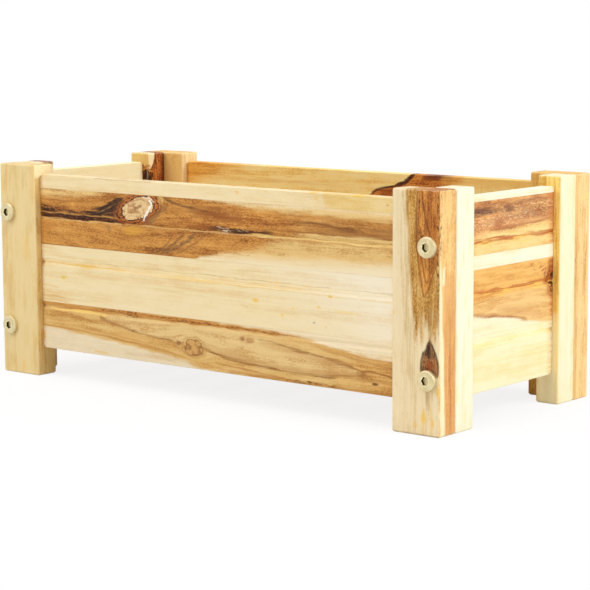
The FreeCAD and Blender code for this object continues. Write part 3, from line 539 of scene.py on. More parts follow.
# strip 1 is at the top of each panel
frontPanel = {
    "front_panel_strip_1": board(
        sapwood, "longPanel", seed=11, pith=(120, 40), taper=0.01, ringGap=2.6, tone=tone(237, 216, 170),
        ends=179, seams=(153.5,),
        zones=[zone(sapwood, tone=tone(232, 204, 140), late=tone(220, 180, 100),
                    lower=[(112, 175), (122, 150), (180, 150)], softLow=8)],
        streaks=[
            streak([(-118, 163.9), (-90, 164), (-55, 164)], 0.5, tone(176, 128, 62), 0.6),
            streak([(-180, 155.5), (-120, 155), (-60, 156)], 0.8, tone(228, 194, 132), 0.4, fade=30),
        ],
        spots=[
            spot((104, 164), (5, 1.6), amber, 0.8),
            spot((145, 164), (6, 1.6), amber, 0.8),
            spot((32, 160.6), (2.6, 1.4), amber, 0.7),
            spot((107, 160.4), (2, 1.2), amber),
            spot((60, 163), (3, 1.2), amber, 0.4),
            spot((171, 159), (2, 1.6), tone(222, 160, 60), 0.8),
        ]),
    "front_panel_strip_2": board(
        sapwood, "longPanel", seed=23, pith=(96, 30), taper=0.05, ringGap=4.2, wander=4,
        tone=tone(238, 221, 184), ends=179, seams=(153.5, 108),
        groove=frontGroove(108, 153.5, shadow=0.0, amber=0.0, lift=1.0),
        zones=[
            zone(goldenWood, tone=tone(228, 190, 116), strength=0.9,
                 upper=[(-185, 155.6), (-150, 155), (-120, 156), (-106, 158), (-95, 161), (-16, 161), (0, 156),
                        (20, 153.6), (60, 152.6), (100, 152.4), (140, 153), (185, 153)], softUp=4,
                 lower=[(-185, 122), (0, 112), (185, 118)], softLow=6),
            zone(heartwood, line=0.1, brush=0.18, cloud=0.2, grit=0.3,
                 upper=[(-185, 148.4), (-160, 147.6), (-140, 148.2), (-120, 150.3), (-106, 152.8), (-95, 157),
                        (-16, 157), (0, 153), (20, 151), (60, 149.4), (100, 148), (140, 147.4), (185, 147)],
                 softUp=[(-185, 3.4), (-110, 2.6), (0, 2), (60, 3), (185, 3.6)],
                 lower=[(-185, 100), (-22, 100), (-10, 107.6), (0, 110.8), (20, 114.4), (40, 116.6),
                        (60, 118.6), (90, 120), (120, 120.4), (150, 120), (185, 119)],
                 softLow=[(-185, 1.4), (0, 1.6), (60, 3), (120, 5), (185, 6)]),
            zone(heartwood, tone=tone(188, 120, 50), late=tone(142, 82, 32), strength=0.8, grit=0.34,
                 upper=[(-60, 128), (-30, 138), (0, 150), (60, 147), (110, 144), (185, 143)], softUp=3,
                 lower=[(-60, 150), (-30, 138), (0, 133), (60, 133.5), (110, 134.5), (185, 135)], softLow=1.4),
            zone(heartwood, tone=tone(184, 128, 64), late=tone(150, 98, 44), light=tone(208, 154, 86),
                 grit=0.24, strength=0.8, grow=(50, 110), upper=[(0, 147.6), (100, 146.6), (185, 146)],
                 softUp=3.6, lower=[(0, 133.4), (100, 134.4), (185, 135)], softLow=1.4),
            zone(goldenWood, tone=tone(226, 192, 124), late=tone(200, 150, 82), strength=0.9,
                 upper=[(20, 108), (60, 123), (80, 130), (100, 133.6), (185, 133.8)],
                 softUp=[(20, 5), (70, 5), (100, 1.4), (185, 1.4)], lower=[(20, 118), (90, 119.6), (185, 118)],
                 softLow=5),
        ],
        streaks=[
            # grain that climbs to the big eye
            streak([(-190, 145.6), (-150, 144.6), (-124, 145), (-108, 147), (-96, 150), (-84, 154)], 0.8,
                   tone(150, 92, 40), 0.6),
            streak([(-190, 141), (-160, 142), (-130, 142.6), (-108, 144.6), (-94, 148)], 1.6,
                   tone(206, 146, 68), 0.6, soft=1.4),
            # charred stroke that runs into it
            streak([(-190, 138.8), (-165, 137), (-150, 136.2), (-130, 136), (-118, 136.8), (-108, 138.4),
                    (-98, 140.8), (-91, 142.6), (-84, 142)],
                   [(-190, 4), (-165, 2), (-150, 1), (-130, 1.3), (-118, 2.2), (-108, 4), (-98, 6.6),
                    (-91, 7.6), (-84, 6)], charcoal, 0.95, soft=1.6, ragged=2.6, fade=3, solid=True),
            streak([(-190, 138), (-176, 137.6), (-162, 136.6)], [(-190, 5), (-176, 3.6), (-162, 1)],
                   tone(44, 22, 10), 0.9, soft=2, fade=3),
            streak([(-186, 140.6), (-156, 138.4), (-126, 136.6)], 2.4, tone(172, 108, 52), 0.8, specks=0.5),
            streak([(-186, 133.8), (-150, 133.2), (-118, 133)], 1.0, tone(196, 136, 76), 0.8, specks=0.5),
            streak([(-116, 137.4), (-104, 140.6), (-92, 146)], 0.5, tone(170, 122, 62), 0.6, soft=0.5, fade=5),
            streak([(-108, 136.4), (-97, 138.6), (-87, 142.6)], 0.4, tone(156, 112, 58), 0.55, soft=0.5,
                   fade=5),
            # edges of the upper groove, the oil in it, and painted highlights along its lower facet
            streak([(-190, 134.3), (-140, 134.2), (-96, 134)], 0.5, tone(204, 148, 74), soft=0.4, solid=True),
            streak([(-190, 131.9), (-150, 132), (-110, 131.8), (-84, 131.4)],
                   [(-190, 2.1), (-110, 1.9), (-84, 1.3)], tone(46, 22, 10), 0.95, soft=0.7, ragged=1.4, fade=4,
                   solid=True),
            streak([(-176, 132.6), (-130, 131.6), (-92, 132)], 1.2, tone(138, 66, 24), 0.85, specks=0.6),
            streak([(-90, 132), (-76, 132.2), (-58, 132.4)], 1.3, tone(150, 72, 24), 0.85, ragged=1.6, fade=4),
            streak([(-190, 129.2), (-120, 129.2), (-60, 129.4), (0, 129.4), (60, 129.6)], 0.5,
                   tone(222, 176, 108), 0.75, soft=0.4, solid=True),
            streak([(-62, 132.8), (-40, 133.2), (-12, 134)], 0.5, tone(168, 96, 40), 0.6, soft=0.5, fade=5),
            streak([(-16, 146.4), (0, 145), (24, 143)], [(-16, 0.6), (4, 2.4), (24, 1)], tone(134, 72, 28),
                   soft=1.4, ragged=2.4),
            streak([(-20, 132.2), (0, 132.6), (30, 132.2)], 1.3, tone(150, 80, 30), 0.8, ragged=1.6),
            # dark chip in the groove, with pale splinters
            streak([(2, 132.2), (30, 132.2), (68, 131.8)], [(2, 0.6), (28, 1.7), (44, 1.5), (68, 0.5)],
                   tone(70, 40, 20), 0.92, ragged=2.2, fade=14, solid=True),
            streak([(11, 133.2), (18, 132), (27, 133)], 0.9, tone(232, 206, 166), 1.0, soft=0.5, ragged=3.4,
                   specks=0.2, fade=2),
            streak([(27, 132), (34, 132.8), (45, 131.8)], 0.6, tone(214, 178, 128), 0.9, specks=0.6, fade=2),
            # right half of the groove with a painted highlight along its lower facet, and the figure above it
            streak([(44, 129.8), (90, 129.7), (185, 129.6)], 0.8, tone(238, 204, 128), 0.9, soft=0.5, fade=16,
                   solid=True),
            streak([(56, 134.4), (110, 134.6), (185, 134.6)], 0.6, tone(138, 84, 36), 0.75, soft=0.5, fade=14),
            streak([(70, 128.2), (120, 128.1), (185, 128)], 0.5, tone(184, 132, 66), 0.6, soft=0.5, fade=20),
            streak([(86, 141.6), (108, 141.8), (128, 140.2), (146, 138)], 1.1, tone(122, 76, 36), 0.75,
                   fade=12),
            streak([(96, 137), (120, 136.6), (150, 136.8), (185, 137)], [(96, 0.8), (130, 1.6), (185, 1.0)],
                   tone(134, 86, 42), 0.55, fade=14),
            streak([(120, 139.4), (132, 139), (144, 138)], 1.4, tone(112, 68, 34), 0.6),
            streak([(150, 141), (170, 140.2), (185, 140)], 1.0, tone(140, 92, 46), 0.6),
            # smoky lines that fan out below the eye
            streak([(-60, 108.6), (-48, 111.6), (-40, 117), (-33, 126)], 0.8, smoke, soft=1, fade=4),
            streak([(-48, 109.6), (-37, 114.6), (-28, 121.4), (-20, 128.4)],
                   [(-48, 0.7), (-34, 1.6), (-20, 1.2)], smoke, 0.75, soft=1.2, ragged=2.4, fade=4),
            streak([(-42, 110), (-30, 114.6), (-20, 120.4), (-9, 128)], [(-42, 0.8), (-24, 1.8), (-9, 1.4)],
                   tone(104, 76, 52), 0.75, soft=1.2, ragged=2.4, fade=4),
            streak([(-30, 110.6), (-18, 115.6), (-6, 123), (2, 128)], 0.8, tone(134, 92, 54), 0.65, fade=4),
            streak([(-64, 131.6), (-54, 136), (-46, 142), (-38, 147)], [(-64, 1.2), (-50, 2.6), (-38, 1)],
                   tone(128, 94, 58), 0.75, soft=1.6, ragged=2.6, fade=5),
            # tail of the eye to the right
            streak([(-44, 153.6), (-35, 150.4), (-26, 147.8), (-14, 146.2), (4, 144.6)],
                   [(-44, 1.4), (-24, 1.2), (4, 0.6)], tone(92, 60, 34), 0.8, fade=4),
            streak([(-34, 145.4), (-16, 143.6), (6, 142), (30, 140.6)], 0.9, tone(146, 92, 42), 0.6),
            streak([(-20, 150), (0, 148.2), (24, 147)], 0.9, tone(152, 94, 42), 0.5),
            # bow under the eye
            streak([(-93, 126), (-85, 121.4), (-76, 119.6), (-67, 120.8), (-59, 125.4)], 0.7,
                   tone(160, 102, 46), 0.6, fade=4),
            streak([(-92, 119.6), (-82, 117), (-70, 117), (-56, 120.6)], 0.6, tone(162, 106, 52), 0.55, fade=5),
            streak([(-60, 127), (-48, 125), (-40, 122)], 1.2, tone(172, 118, 58), 0.5, soft=1.2, fade=5),
            streak([(-185, 108.4), (-60, 108.4), (-14, 108.2)], 0.4, tone(146, 84, 34), soft=0.5),
        ],
        spots=[
            spot((-76, 126), (13, 5.6), tone(214, 158, 62), 0.75, ragged=0.3),
            spot((-46, 151), (4.4, 3.4), tone(228, 188, 112), 0.8, ragged=0.4),
            spot((-101, 126), (6, 2.4), tone(132, 94, 66), 0.55),
            spot((-142, 142), (3, 1.6), tone(230, 168, 86), 0.7),
            spot((-170, 123), (12, 4), tone(182, 108, 40), 0.5),
            spot((14, 141), (34, 7), tone(142, 78, 30), 0.55),
            spot((14, 146), (9, 2.6), tone(138, 78, 30), 0.45),
            spot((32, 139), (12, 2.6), tone(150, 88, 36), 0.4),
            spot((60, 138.4), (5, 2), tone(132, 76, 32), 0.5),
        ],
        knots=[knot((-70, 143), (19.8, 9.4), tone(226, 193, 140), tone(66, 32, 14), tone(186, 104, 44), lean=17,
                    rings=5, ringFrom=0.78, ringShare=1.0, haloReach=1.5, haloShare=0.85,
                    speck=tone(176, 120, 64), speckShare=0.75, ragged=0.14)],
        cracks=[
            # white split at the eye's right side, then finer ones
            crack([(-57.4, 149.4), (-55.4, 147), (-57, 144.4), (-60.4, 140.2), (-62.8, 137), (-63.6, 134.4)],
                  0.85, tone(246, 238, 230), 1.0),
            crack([(-64, 152), (-57, 151.6), (-53, 149)], 0.6, tone(236, 216, 190), 0.7),
            crack([(-80, 139.4), (-74, 140.4), (-70, 140.2)], 1.5, tone(166, 112, 58), 0.65),
            crack([(-73, 142.6), (-69.4, 143.6), (-66.4, 145)], 1.1, tone(128, 78, 40), 0.7),
            crack([(-84, 145), (-76, 148.4), (-66, 150)], 0.5, tone(168, 118, 80), 0.6),
            crack([(-80, 143), (-72, 146.6)], 0.5, tone(176, 126, 88), 0.6),
        ]),
    "front_panel_strip_3": board(
        sapwood, "longPanel", seed=37, pith=(20, 60), taper=0.015, ringGap=3.0, tone=tone(236, 216, 170),
        ends=179, seams=(108, 61.5), groove=frontGroove(61.5, 108, shadow=0.0, amber=0.0),
        zones=[zone(sapwood, tone=tone(240, 228, 202), late=tone(231, 208, 166), ragged=0,
                    lower=[(-185, 205), (60, 125), (185, 15)], softLow=60)],
        streaks=[
            # middle groove, with painted shade along its upper edge
            streak([(-185, 96.2), (0, 96.2), (185, 96)], 0.3, tone(196, 174, 122), 0.55, soft=0.4, solid=True),
            streak([(-174, 93.8), (-130, 93.2), (-84, 92.6)], 0.6, tone(232, 186, 84), 0.9, soft=0.5, fade=12),
            streak([(-100, 92.8), (0, 92), (60, 92.4), (110, 93.6)], 0.5, tone(236, 196, 104), 0.6, soft=0.5,
                   fade=20),
            streak([(-60, 91), (0, 90.8), (185, 90.4)], 0.4, tone(232, 190, 98), 0.6, soft=0.4, fade=30),
            streak([(-185, 75.2), (-170, 75), (-158, 74)], 0.8, tone(224, 184, 104), 0.6),
            streak([(-185, 71.4), (-168, 70), (-150, 67.4)], 0.6, tone(224, 186, 112), 0.5),
            streak([(-185, 66.4), (-168, 66.2), (-150, 65.4)], 1.0, tone(206, 152, 70), 0.75, fade=14),
            streak([(-185, 63), (-165, 63.6), (-146, 62.4)], 0.9, tone(212, 160, 78), 0.65, fade=14),
            streak([(-56, 81), (-20, 81)], 1.0, tone(226, 192, 124), 0.4, soft=1),
            streak([(-50, 77), (-22, 76.6)], 1.0, tone(226, 192, 124), 0.35, soft=1),
            streak([(124, 79.6), (146, 79.4)], 0.9, tone(236, 202, 110), 0.6),
        ],
        spots=[
            # resin
            spot((-153.5, 82.5), (3, 1.8), tone(236, 192, 78), 0.85, ragged=0.3),
            spot((49.5, 81.4), (3.6, 2.8), tone(238, 196, 82), 0.9, ragged=0.4),
            spot((75, 72.4), (2.8, 1.6), tone(238, 200, 92), 0.8, ragged=0.4),
            spot((85, 78.4), (2.4, 1.3), tone(238, 204, 104), ragged=0.4),
            spot((109.5, 81.4), (2.6, 1.5), tone(238, 200, 96), 0.75, ragged=0.4),
            spot((120, 90), (3, 1.2), tone(236, 192, 84), 0.8, ragged=0.4),
            spot((70, 96.2), (3, 1), tone(236, 196, 92), 0.8, ragged=0.4),
            spot((98, 95.8), (2.4, 0.9), tone(236, 196, 92), 0.7, ragged=0.4),
            spot((105, 69.8), (1.4, 1.1), tone(172, 160, 138), 0.8, ragged=0.3),
            spot((116, 67.4), (1.5, 1.0), tone(234, 196, 96), 0.7, ragged=0.3),
            spot((-178, 93), (3.6, 4.6), tone(204, 148, 66), 0.75, ragged=0.4),
        ]),
    "front_panel_strip_4": board(
        goldenWood, "longPanel", seed=41, pith=(38, 52), taper=0.045, ringGap=3.6, tone=tone(216, 175, 105),
        ends=179, seams=(61.5,), groove=frontGroove(23, 61.5, shadow=0.0, amber=0.0, lift=1.0),
        zones=[
            zone(goldenWood, tone=tone(224, 192, 132), late=tone(198, 150, 86),
                 upper=[(-185, 40), (-112, 53.6), (-80, 56.5), (-40, 57), (20, 57), (60, 53), (100, 47),
                        (132, 41.4), (152, 36.2), (185, 20)], softUp=1.6,
                 lower=[(-185, 60), (-112, 53.6), (-90, 48.4), (-60, 44.6), (-30, 42), (0, 39.4), (30, 34.4),
                        (60, 32), (90, 30.8), (112, 31.2), (132, 33.4), (152, 36.4), (185, 44)], softLow=1.2),
            zone(sapwood, tone=tone(227, 209, 174), late=tone(212, 178, 126),
                 upper=[(-185, 40.6), (-140, 38.6), (-110, 36.6), (-80, 34), (-50, 31.2), (-24, 28), (-10, 25),
                        (185, 10)], softUp=1.4),
            zone(sapwood, tone=tone(236, 218, 182), late=tone(222, 188, 132),
                 lower=[(-185, 90), (-20, 64), (20, 61.2), (50, 60.4), (85, 58.2), (100, 56.6), (130, 52.4),
                        (160, 49.4), (185, 48)], softLow=1.2),
            zone(goldenWood, tone=tone(204, 150, 76), late=tone(164, 108, 48), strength=0.65,
                 upper=[(110, 40), (140, 50.4), (160, 48.6), (185, 47.6)], softUp=2,
                 lower=[(110, 90), (140, 50), (160, 22), (185, 10)], softLow=14),
        ],
        streaks=[
            # lower groove, with painted highlights along its lower facet
            streak([(-185, 59.6), (-120, 59.8), (-40, 59.6), (20, 58.6), (60, 57.8), (92, 57.4)],
                   [(-185, 2.0), (0, 1.9), (60, 1.1), (92, 0.5)], tone(194, 128, 50), 0.95, ragged=1.8,
                   fade=12),
            streak([(-120, 60.4), (-60, 60.2), (-20, 59), (30, 58.6), (80, 57.6)], 0.9, tone(132, 74, 26), 0.9,
                   specks=0.4, fade=10),
            streak([(-89, 58.6), (-80, 57.8), (-72, 58.6)], 1.2, tone(84, 46, 20), 0.95, specks=0.4, fade=2),
            streak([(-30, 58.4), (-12, 58.8)], 1.0, tone(96, 54, 24), 0.8, specks=0.6, fade=3),
            streak([(-170, 56.2), (-140, 56.2), (-106, 56)], 0.9, tone(246, 208, 118), 0.9, soft=0.5, fade=10,
                   solid=True),
            streak([(-110, 56), (0, 56), (70, 55)], 0.6, tone(236, 202, 130), 0.5, soft=0.5, fade=10),
            # outline of the long lens
            streak([(-114, 54.4), (-100, 50.6), (-80, 46.6), (-60, 44.2), (-44, 42.8), (-30, 41.6)],
                   [(-114, 1.2), (-104, 1.5), (-90, 0.9), (-60, 0.6), (-30, 0.6)], tone(150, 98, 50), 0.85,
                   soft=1.0, ragged=1.4, fade=3),
            streak([(-108, 52.2), (-92, 51.6), (-76, 52.8)], 0.5, tone(186, 144, 88), 0.5, soft=0.6, fade=6),
            streak([(-6, 40), (10, 37.2), (30, 34), (60, 32), (90, 30.7), (112, 31), (130, 33), (152, 36.4)],
                   [(-6, 0.6), (20, 1.1), (60, 0.7), (95, 1.0), (152, 0.5)], tone(140, 90, 38), 0.95,
                   ragged=1.8, fade=4),
            streak([(50, 52.4), (72, 50.6), (88, 47.8), (110, 45.4), (130, 42.4), (144, 39.2), (154, 36)],
                   [(50, 0.5), (90, 0.9), (130, 1.0), (154, 0.7)], tone(146, 96, 42), 0.85, ragged=1.8),
            streak([(148, 38.2), (160, 38.8), (168, 38), (182, 34)], 0.7, tone(148, 90, 34), 0.85, soft=0.6,
                   fade=4),
            streak([(-6, 42), (10, 39.6), (30, 36.4), (60, 34.2), (90, 33), (120, 33.8), (148, 37)], 2,
                   tone(190, 140, 78), 0.6, soft=2.2, ragged=2, fade=10),
            streak([(52, 50.6), (80, 47.2), (110, 43.2), (140, 39.6)], 2, tone(194, 144, 82), 0.55, soft=2.2,
                   ragged=2, fade=12),
            streak([(70, 46.6), (100, 42.6), (130, 38)], 0.4, tone(190, 146, 88), 0.5, soft=0.6, fade=10),
            streak([(84, 41), (108, 38.6), (128, 35.6)], 0.4, tone(190, 146, 88), 0.45, soft=0.6, fade=10),
            streak([(110, 51.4), (140, 47), (178, 43.4)], 0.8, tone(178, 118, 50), 0.6, fade=10),
            streak([(100, 53.4), (140, 49.4), (178, 46.6)], 0.7, tone(198, 140, 66), 0.6, fade=10),
            # edge of the pale foot
            streak([(-185, 42.4), (-150, 41.4), (-110, 39.4), (-80, 37), (-50, 34.6), (-30, 32), (-14, 29)],
                   [(-185, 0.6), (-90, 0.8), (-14, 0.5)], tone(188, 130, 58), 0.75, soft=0.7, ragged=0.8,
                   fade=6),
            streak([(-150, 44.4), (-110, 42), (-80, 39.6), (-50, 36.6)], 0.6, tone(196, 140, 66), 0.6, soft=0.7,
                   fade=10),
            streak([(-100, 37.6), (-70, 35.4), (-40, 32.4)], 0.6, tone(196, 138, 64), soft=0.6),
            streak([(-66, 41.4), (-44, 40), (-20, 36)], 0.5, tone(200, 150, 84), 0.5, soft=0.6),
            streak([(8, 29.8), (34, 28.4), (60, 26.4), (90, 25.2)], 0.8, tone(186, 122, 48), 0.8, soft=0.7,
                   fade=6),
            streak([(-14, 29), (20, 26), (60, 24.6)], 0.7, tone(196, 140, 66), 0.6, soft=0.7, fade=6),
            streak([(76, 24.8), (100, 24.8), (128, 24.6)], 1.1, tone(82, 50, 22), 0.95, specks=0.3, fade=4),
            streak([(20, 24.4), (90, 24.4), (185, 24.4)], 0.8, tone(170, 112, 46), ragged=1.6, fade=10),
            streak([(130, 34), (152, 32.4), (185, 33)], 0.9, tone(166, 110, 50), 0.5, soft=1.0),
            streak([(-120, 26), (-104, 25.6)], 0.8, tone(226, 182, 86), 0.8, fade=4),
        ],
        spots=[
            spot((160.5, 30.6), (3.4, 1.3), tone(126, 82, 38), 1.0, ragged=0.4),
            spot((41, 52), (8, 4.4), tone(206, 164, 100), 0.55),
            spot((150, 35.8), (9, 2.8), tone(156, 102, 46), 0.55),
            spot((-178.5, 33), (3.4, 5.5), tone(226, 164, 54), 0.8, ragged=0.5),
            spot((-178.5, 58), (3, 3), tone(150, 92, 34), 0.7, ragged=0.5),
            spot((36, 44), (2.2, 1.1), tone(204, 150, 92)),
            spot((-88, 41), (22, 4), tone(208, 158, 80), 0.5),
        ],
        knots=[
            knot((-13, 39.4), (10.4, 7.2), tone(204, 158, 92), tone(126, 82, 42), tone(208, 162, 94), rings=3,
                 ringFrom=0.8, ringShare=0.65, haloReach=1.26, haloShare=0.5, speck=tone(150, 98, 54),
                 speckShare=0.75, ragged=0.24),
            knot((-28.6, 41.4), (2.4, 1.5), tone(176, 124, 68), tone(116, 72, 34), tone(196, 146, 88), rings=2,
                 haloReach=1.6, speckShare=0.5, ragged=0.5),
            knot((36, 51), (1.9, 1.5), tone(182, 134, 80), tone(148, 98, 52), tone(206, 158, 104), rings=2,
                 haloReach=1.8, ragged=0.5),
            knot((44, 50.4), (3.2, 1.5), tone(202, 156, 94), tone(162, 114, 60), tone(206, 158, 104), rings=3,
                 haloReach=1.6, ragged=0.5),
        ]),
}

rightPanel = {
    "right_panel_strip_1": board(
        endSapwood, "endPanel", seed=53, pith=(190, 160), taper=0.01, ringGap=2.2, endShare=0.2, seams=(160,)),
    "right_panel_strip_2": board(
        endGolden, "endPanel", seed=59, pith=(120, 150), taper=0.06, ringGap=3.4, tone=tone(240, 205, 134),
        late=tone(218, 164, 88), light=tone(243, 214, 150), endShare=0.85, seams=(160, 122), heartPores=0.1,
        groove=endGroove(122, 160, shadow=0.85, amber=0.9),
        zones=[zone(heartwood, tone=tone(214, 152, 90), late=tone(176, 114, 66), deep=tone(120, 74, 50),
                    light=tone(236, 188, 124), grit=0.36, cloud=0.4, ragged=2.5,
                    lower=[(-60, 135.5), (-20, 137), (0, 138), (30, 140.5), (60, 142)], softLow=3)],
        streaks=[
            streak([(-62, 152), (-44, 152.6), (-28, 152.4), (-12, 151.6)], [(-62, 3), (-34, 2), (-12, 0.8)],
                   tone(96, 58, 44), 0.85, soft=1.4, ragged=2.4, fade=4),
            streak([(6, 150), (16, 149.6), (30, 149.6)], 1.6, tone(120, 72, 50), 0.75, soft=1.4, specks=0.5,
                   fade=5),
            streak([(-50, 144), (-20, 143), (20, 144), (60, 146)], 4, tone(176, 112, 74), 0.5, soft=3, ragged=3,
                   fade=10),
            streak([(-40, 157), (0, 156.6), (60, 156.6)], 1.4, tone(166, 106, 68), 0.55, soft=1.4, ragged=2,
                   fade=10),
            streak([(-30, 150), (0, 150.4), (62, 151)], 6, tone(122, 76, 56), 0.6, soft=3, ragged=3, specks=0.1,
                   fade=12),
            streak([(-62, 145), (-20, 146), (30, 147)], 5, tone(240, 200, 148), 0.6, soft=3, ragged=3,
                   specks=0.7, fade=12),
            streak([(-30, 139.2), (10, 139.6), (60, 142.4)], 0.7, tone(170, 104, 54), 0.6, fade=10),
            streak([(-62, 148), (-30, 148.6), (-12, 147.6)], 0.7, tone(226, 146, 66), 0.6, fade=6),
        ],
        spots=[
            spot((-4, 151.6), (8, 4.6), tone(108, 64, 50), 0.7, ragged=0.9),
            spot((-18, 143), (5, 6), tone(160, 84, 46), 0.5, ragged=0.9),
        ]),
    "right_panel_strip_3": board(
        endSapwood, "endPanel", seed=61, pith=(60, 170), taper=0.01, ringGap=2.4, endShare=0.25,
        seams=(122, 112)),
    "right_panel_strip_4": board(
        endGolden, "endPanel", seed=67, pith=(88, 176), taper=0.05, ringGap=3.8, tone=tone(234, 180, 100),
        late=tone(208, 146, 70), light=tone(238, 194, 122), drift=0.18, grit=0.14, endShare=0.25,
        seams=(112, 64), groove=endGroove(64, 112, shadow=0.75, amber=0.8),
        zones=[
            zone(goldenWood, tone=tone(232, 190, 122), late=tone(208, 152, 84), grit=0.14,
                 upper=[(-60, 80), (-30, 90), (0, 90.5), (60, 91)], softUp=2),
            zone(whiteSapwood, tone=tone(241, 228, 188), late=tone(232, 206, 146), ragged=1.2,
                 upper=[(-60, 80), (-40, 78), (-20, 75.4), (0, 72.5), (20, 68.6), (40, 65), (60, 62)],
                 softUp=1.2),
        ],
        streaks=[
            streak([(-60, 80.4), (-44, 79), (-20, 76), (0, 73), (22, 68.6)],
                   [(-60, 1.2), (-10, 1.3), (22, 0.5)], tone(166, 100, 52), 0.75, soft=1.2, fade=6),
            streak([(-20, 80), (10, 77), (40, 72)], 3, tone(206, 150, 92), 0.6, soft=3, ragged=2, fade=10),
            streak([(24, 108), (40, 104), (58, 100)], 3, tone(160, 88, 44), soft=3, ragged=3, specks=0.6,
                   fade=6),
            streak([(20, 96), (40, 96.4), (58, 97)], 0.6, tone(172, 94, 36)),
        ],
        spots=[
            # glue and painted shade by the post at the far end
            spot((57, 106), (9, 9), tone(170, 92, 34), 0.7),
            spot((58, 78), (7, 14), tone(190, 108, 36), 0.75),
        ],
        knots=[knot((56.4, 96.4), (6.4, 6.8), tone(26, 13, 8), tone(48, 22, 10), tone(176, 84, 26), rings=2,
                    haloReach=2.3, haloShare=0.85, ragged=0.6)]),
    "right_panel_strip_5": board(
        endSapwood, "endPanel", seed=71, pith=(10, 190), taper=0.02, ringGap=3.2, tone=tone(238, 230, 188),
        late=tone(234, 214, 146), light=tone(240, 235, 204), endShare=0.45, seams=(64,),
        groove=endGroove(23, 64, shadow=0.0, amber=0.6, tone=tone(246, 234, 164)),
        streaks=[
            streak([(-60, 46), (0, 45), (60, 46)], 0.5, tone(242, 222, 150), 0.6, fade=20),
            streak([(-60, 34), (0, 33), (60, 34)], 3, tone(240, 222, 166), 0.5, soft=3, fade=20),
        ]),
}

backPanel = {
    "back_panel_strip_1": board(
        goldenWood, "longPanel", seed=73, pith=(176, -50), taper=0.03, ringGap=4.4, tone=tone(253, 224, 146),
        late=tone(240, 194, 104), light=tone(254, 234, 172), ends=179, fibre=0.08, seams=(135.5,),
        zones=[
            zone(goldenWood, tone=tone(238, 176, 74), late=tone(208, 136, 50),
                 lower=[(-185, 140), (-160, 150), (-120, 163), (-90, 172)], softLow=9),
            zone(heartwood, tone=tone(208, 128, 50), late=tone(150, 76, 28), light=tone(230, 158, 70),
                 upper=[(14, 130), (23, 146.6), (29, 150), (44, 153.4), (55, 156.6), (68, 167), (100, 168),
                        (124, 152)], softUp=[(14, 0.8), (68, 0.8), (100, 4), (124, 4)],
                 lower=[(14, 140), (40, 138), (80, 146), (110, 160), (124, 166)], softLow=4),
        ],
        streaks=[
            # black rim of the heartwood patch inside
            streak([(23, 146.6), (29, 150.2), (36, 152.4), (44, 153.6), (50, 155.4), (55, 156.8), (60, 159.8),
                    (68, 167)], [(23, 1.0), (44, 0.9), (54, 1.8), (62, 2.4), (68, 1.6)], tone(72, 30, 10), 0.95,
                   fade=3, solid=True),
            streak([(73, 158.6), (80, 162.6), (90, 163.6), (104, 164.6)],
                   [(73, 0.8), (82, 3), (92, 2.4), (104, 0.8)], tone(112, 50, 14), 0.85, soft=1.4, ragged=2.4,
                   fade=6, solid=True),
            streak([(92, 161), (140, 163), (225, 164)], 5, tone(242, 188, 92), 0.6, soft=4, fade=16),
            streak([(-150, 150), (-60, 152), (0, 150)], 1.2, tone(226, 176, 100), 0.5, soft=1.6, fade=30),
        ],
        spots=[spot((38, 148.4), (10, 3.4), tone(140, 62, 22))]),
    "back_panel_strip_2": board(
        sapwood, "longPanel", seed=79, pith=(60, -60), taper=0.02, ringGap=3.2, ends=179, seams=(135.5, 97.5),
        groove=farGroove(92.5, 97.5, 135.5),
        zones=[zone(heartwood, tone=tone(212, 160, 88), late=tone(178, 120, 58),
                    upper=[(-185, 118), (-110, 112), (-40, 103), (20, 96), (185, 90)], softUp=4)]),
    "back_panel_strip_3": board(
        sapwood, "longPanel", seed=83, pith=(110, -30), taper=-0.05, ringGap=4.4, ends=179, seams=(97.5, 53),
        groove=farGroove(92.5, 53, 97.5),
        zones=[zone(heartwood, upper=[(-185, 92), (-120, 94), (-60, 100), (185, 110)], softUp=2,
                    lower=[(-185, 62), (-100, 58), (-40, 52), (60, 46), (185, 40)], softLow=3)],
        streaks=[
            streak([(-40, 90), (20, 86), (70, 81), (112, 80)], [(-40, 0.8), (70, 3), (112, 4.5)], charcoal,
                   0.85, soft=2, ragged=3, fade=14),
            streak([(140, 78), (165, 82), (190, 84)], [(140, 4), (190, 2)], charcoal, 0.8, soft=2, ragged=3,
                   fade=6),
            streak([(-170, 74), (-80, 70), (0, 68), (80, 66)], 1.2, tone(142, 84, 38), 0.65, soft=1.2, ragged=2,
                   fade=24),
            streak([(-120, 84), (-40, 79), (40, 74), (90, 68)], 0.8, tone(152, 94, 44), 0.6, fade=24),
        ],
        knots=[knot((126, 78), (14, 8.4), tone(214, 172, 122), tone(92, 50, 22), tone(190, 114, 46), lean=-8,
                    rings=5, ringShare=0.85, haloReach=1.42, haloShare=0.8, speck=tone(160, 108, 64),
                    speckShare=0.6)]),
    "back_panel_strip_4": board(
        goldenWood, "longPanel", seed=89, pith=(30, -54), taper=0.05, ringGap=3.6, line=0.3, ends=179,
        seams=(53,),
        streaks=[
            streak([(-190, 46), (-100, 42), (0, 36), (100, 30), (190, 28)], 0.9, tone(150, 94, 46), soft=0.9,
                   fade=20),
            streak([(-120, 34), (-40, 33), (60, 40), (190, 44)], 0.8, tone(162, 106, 54), 0.6, fade=24),
        ]),
}

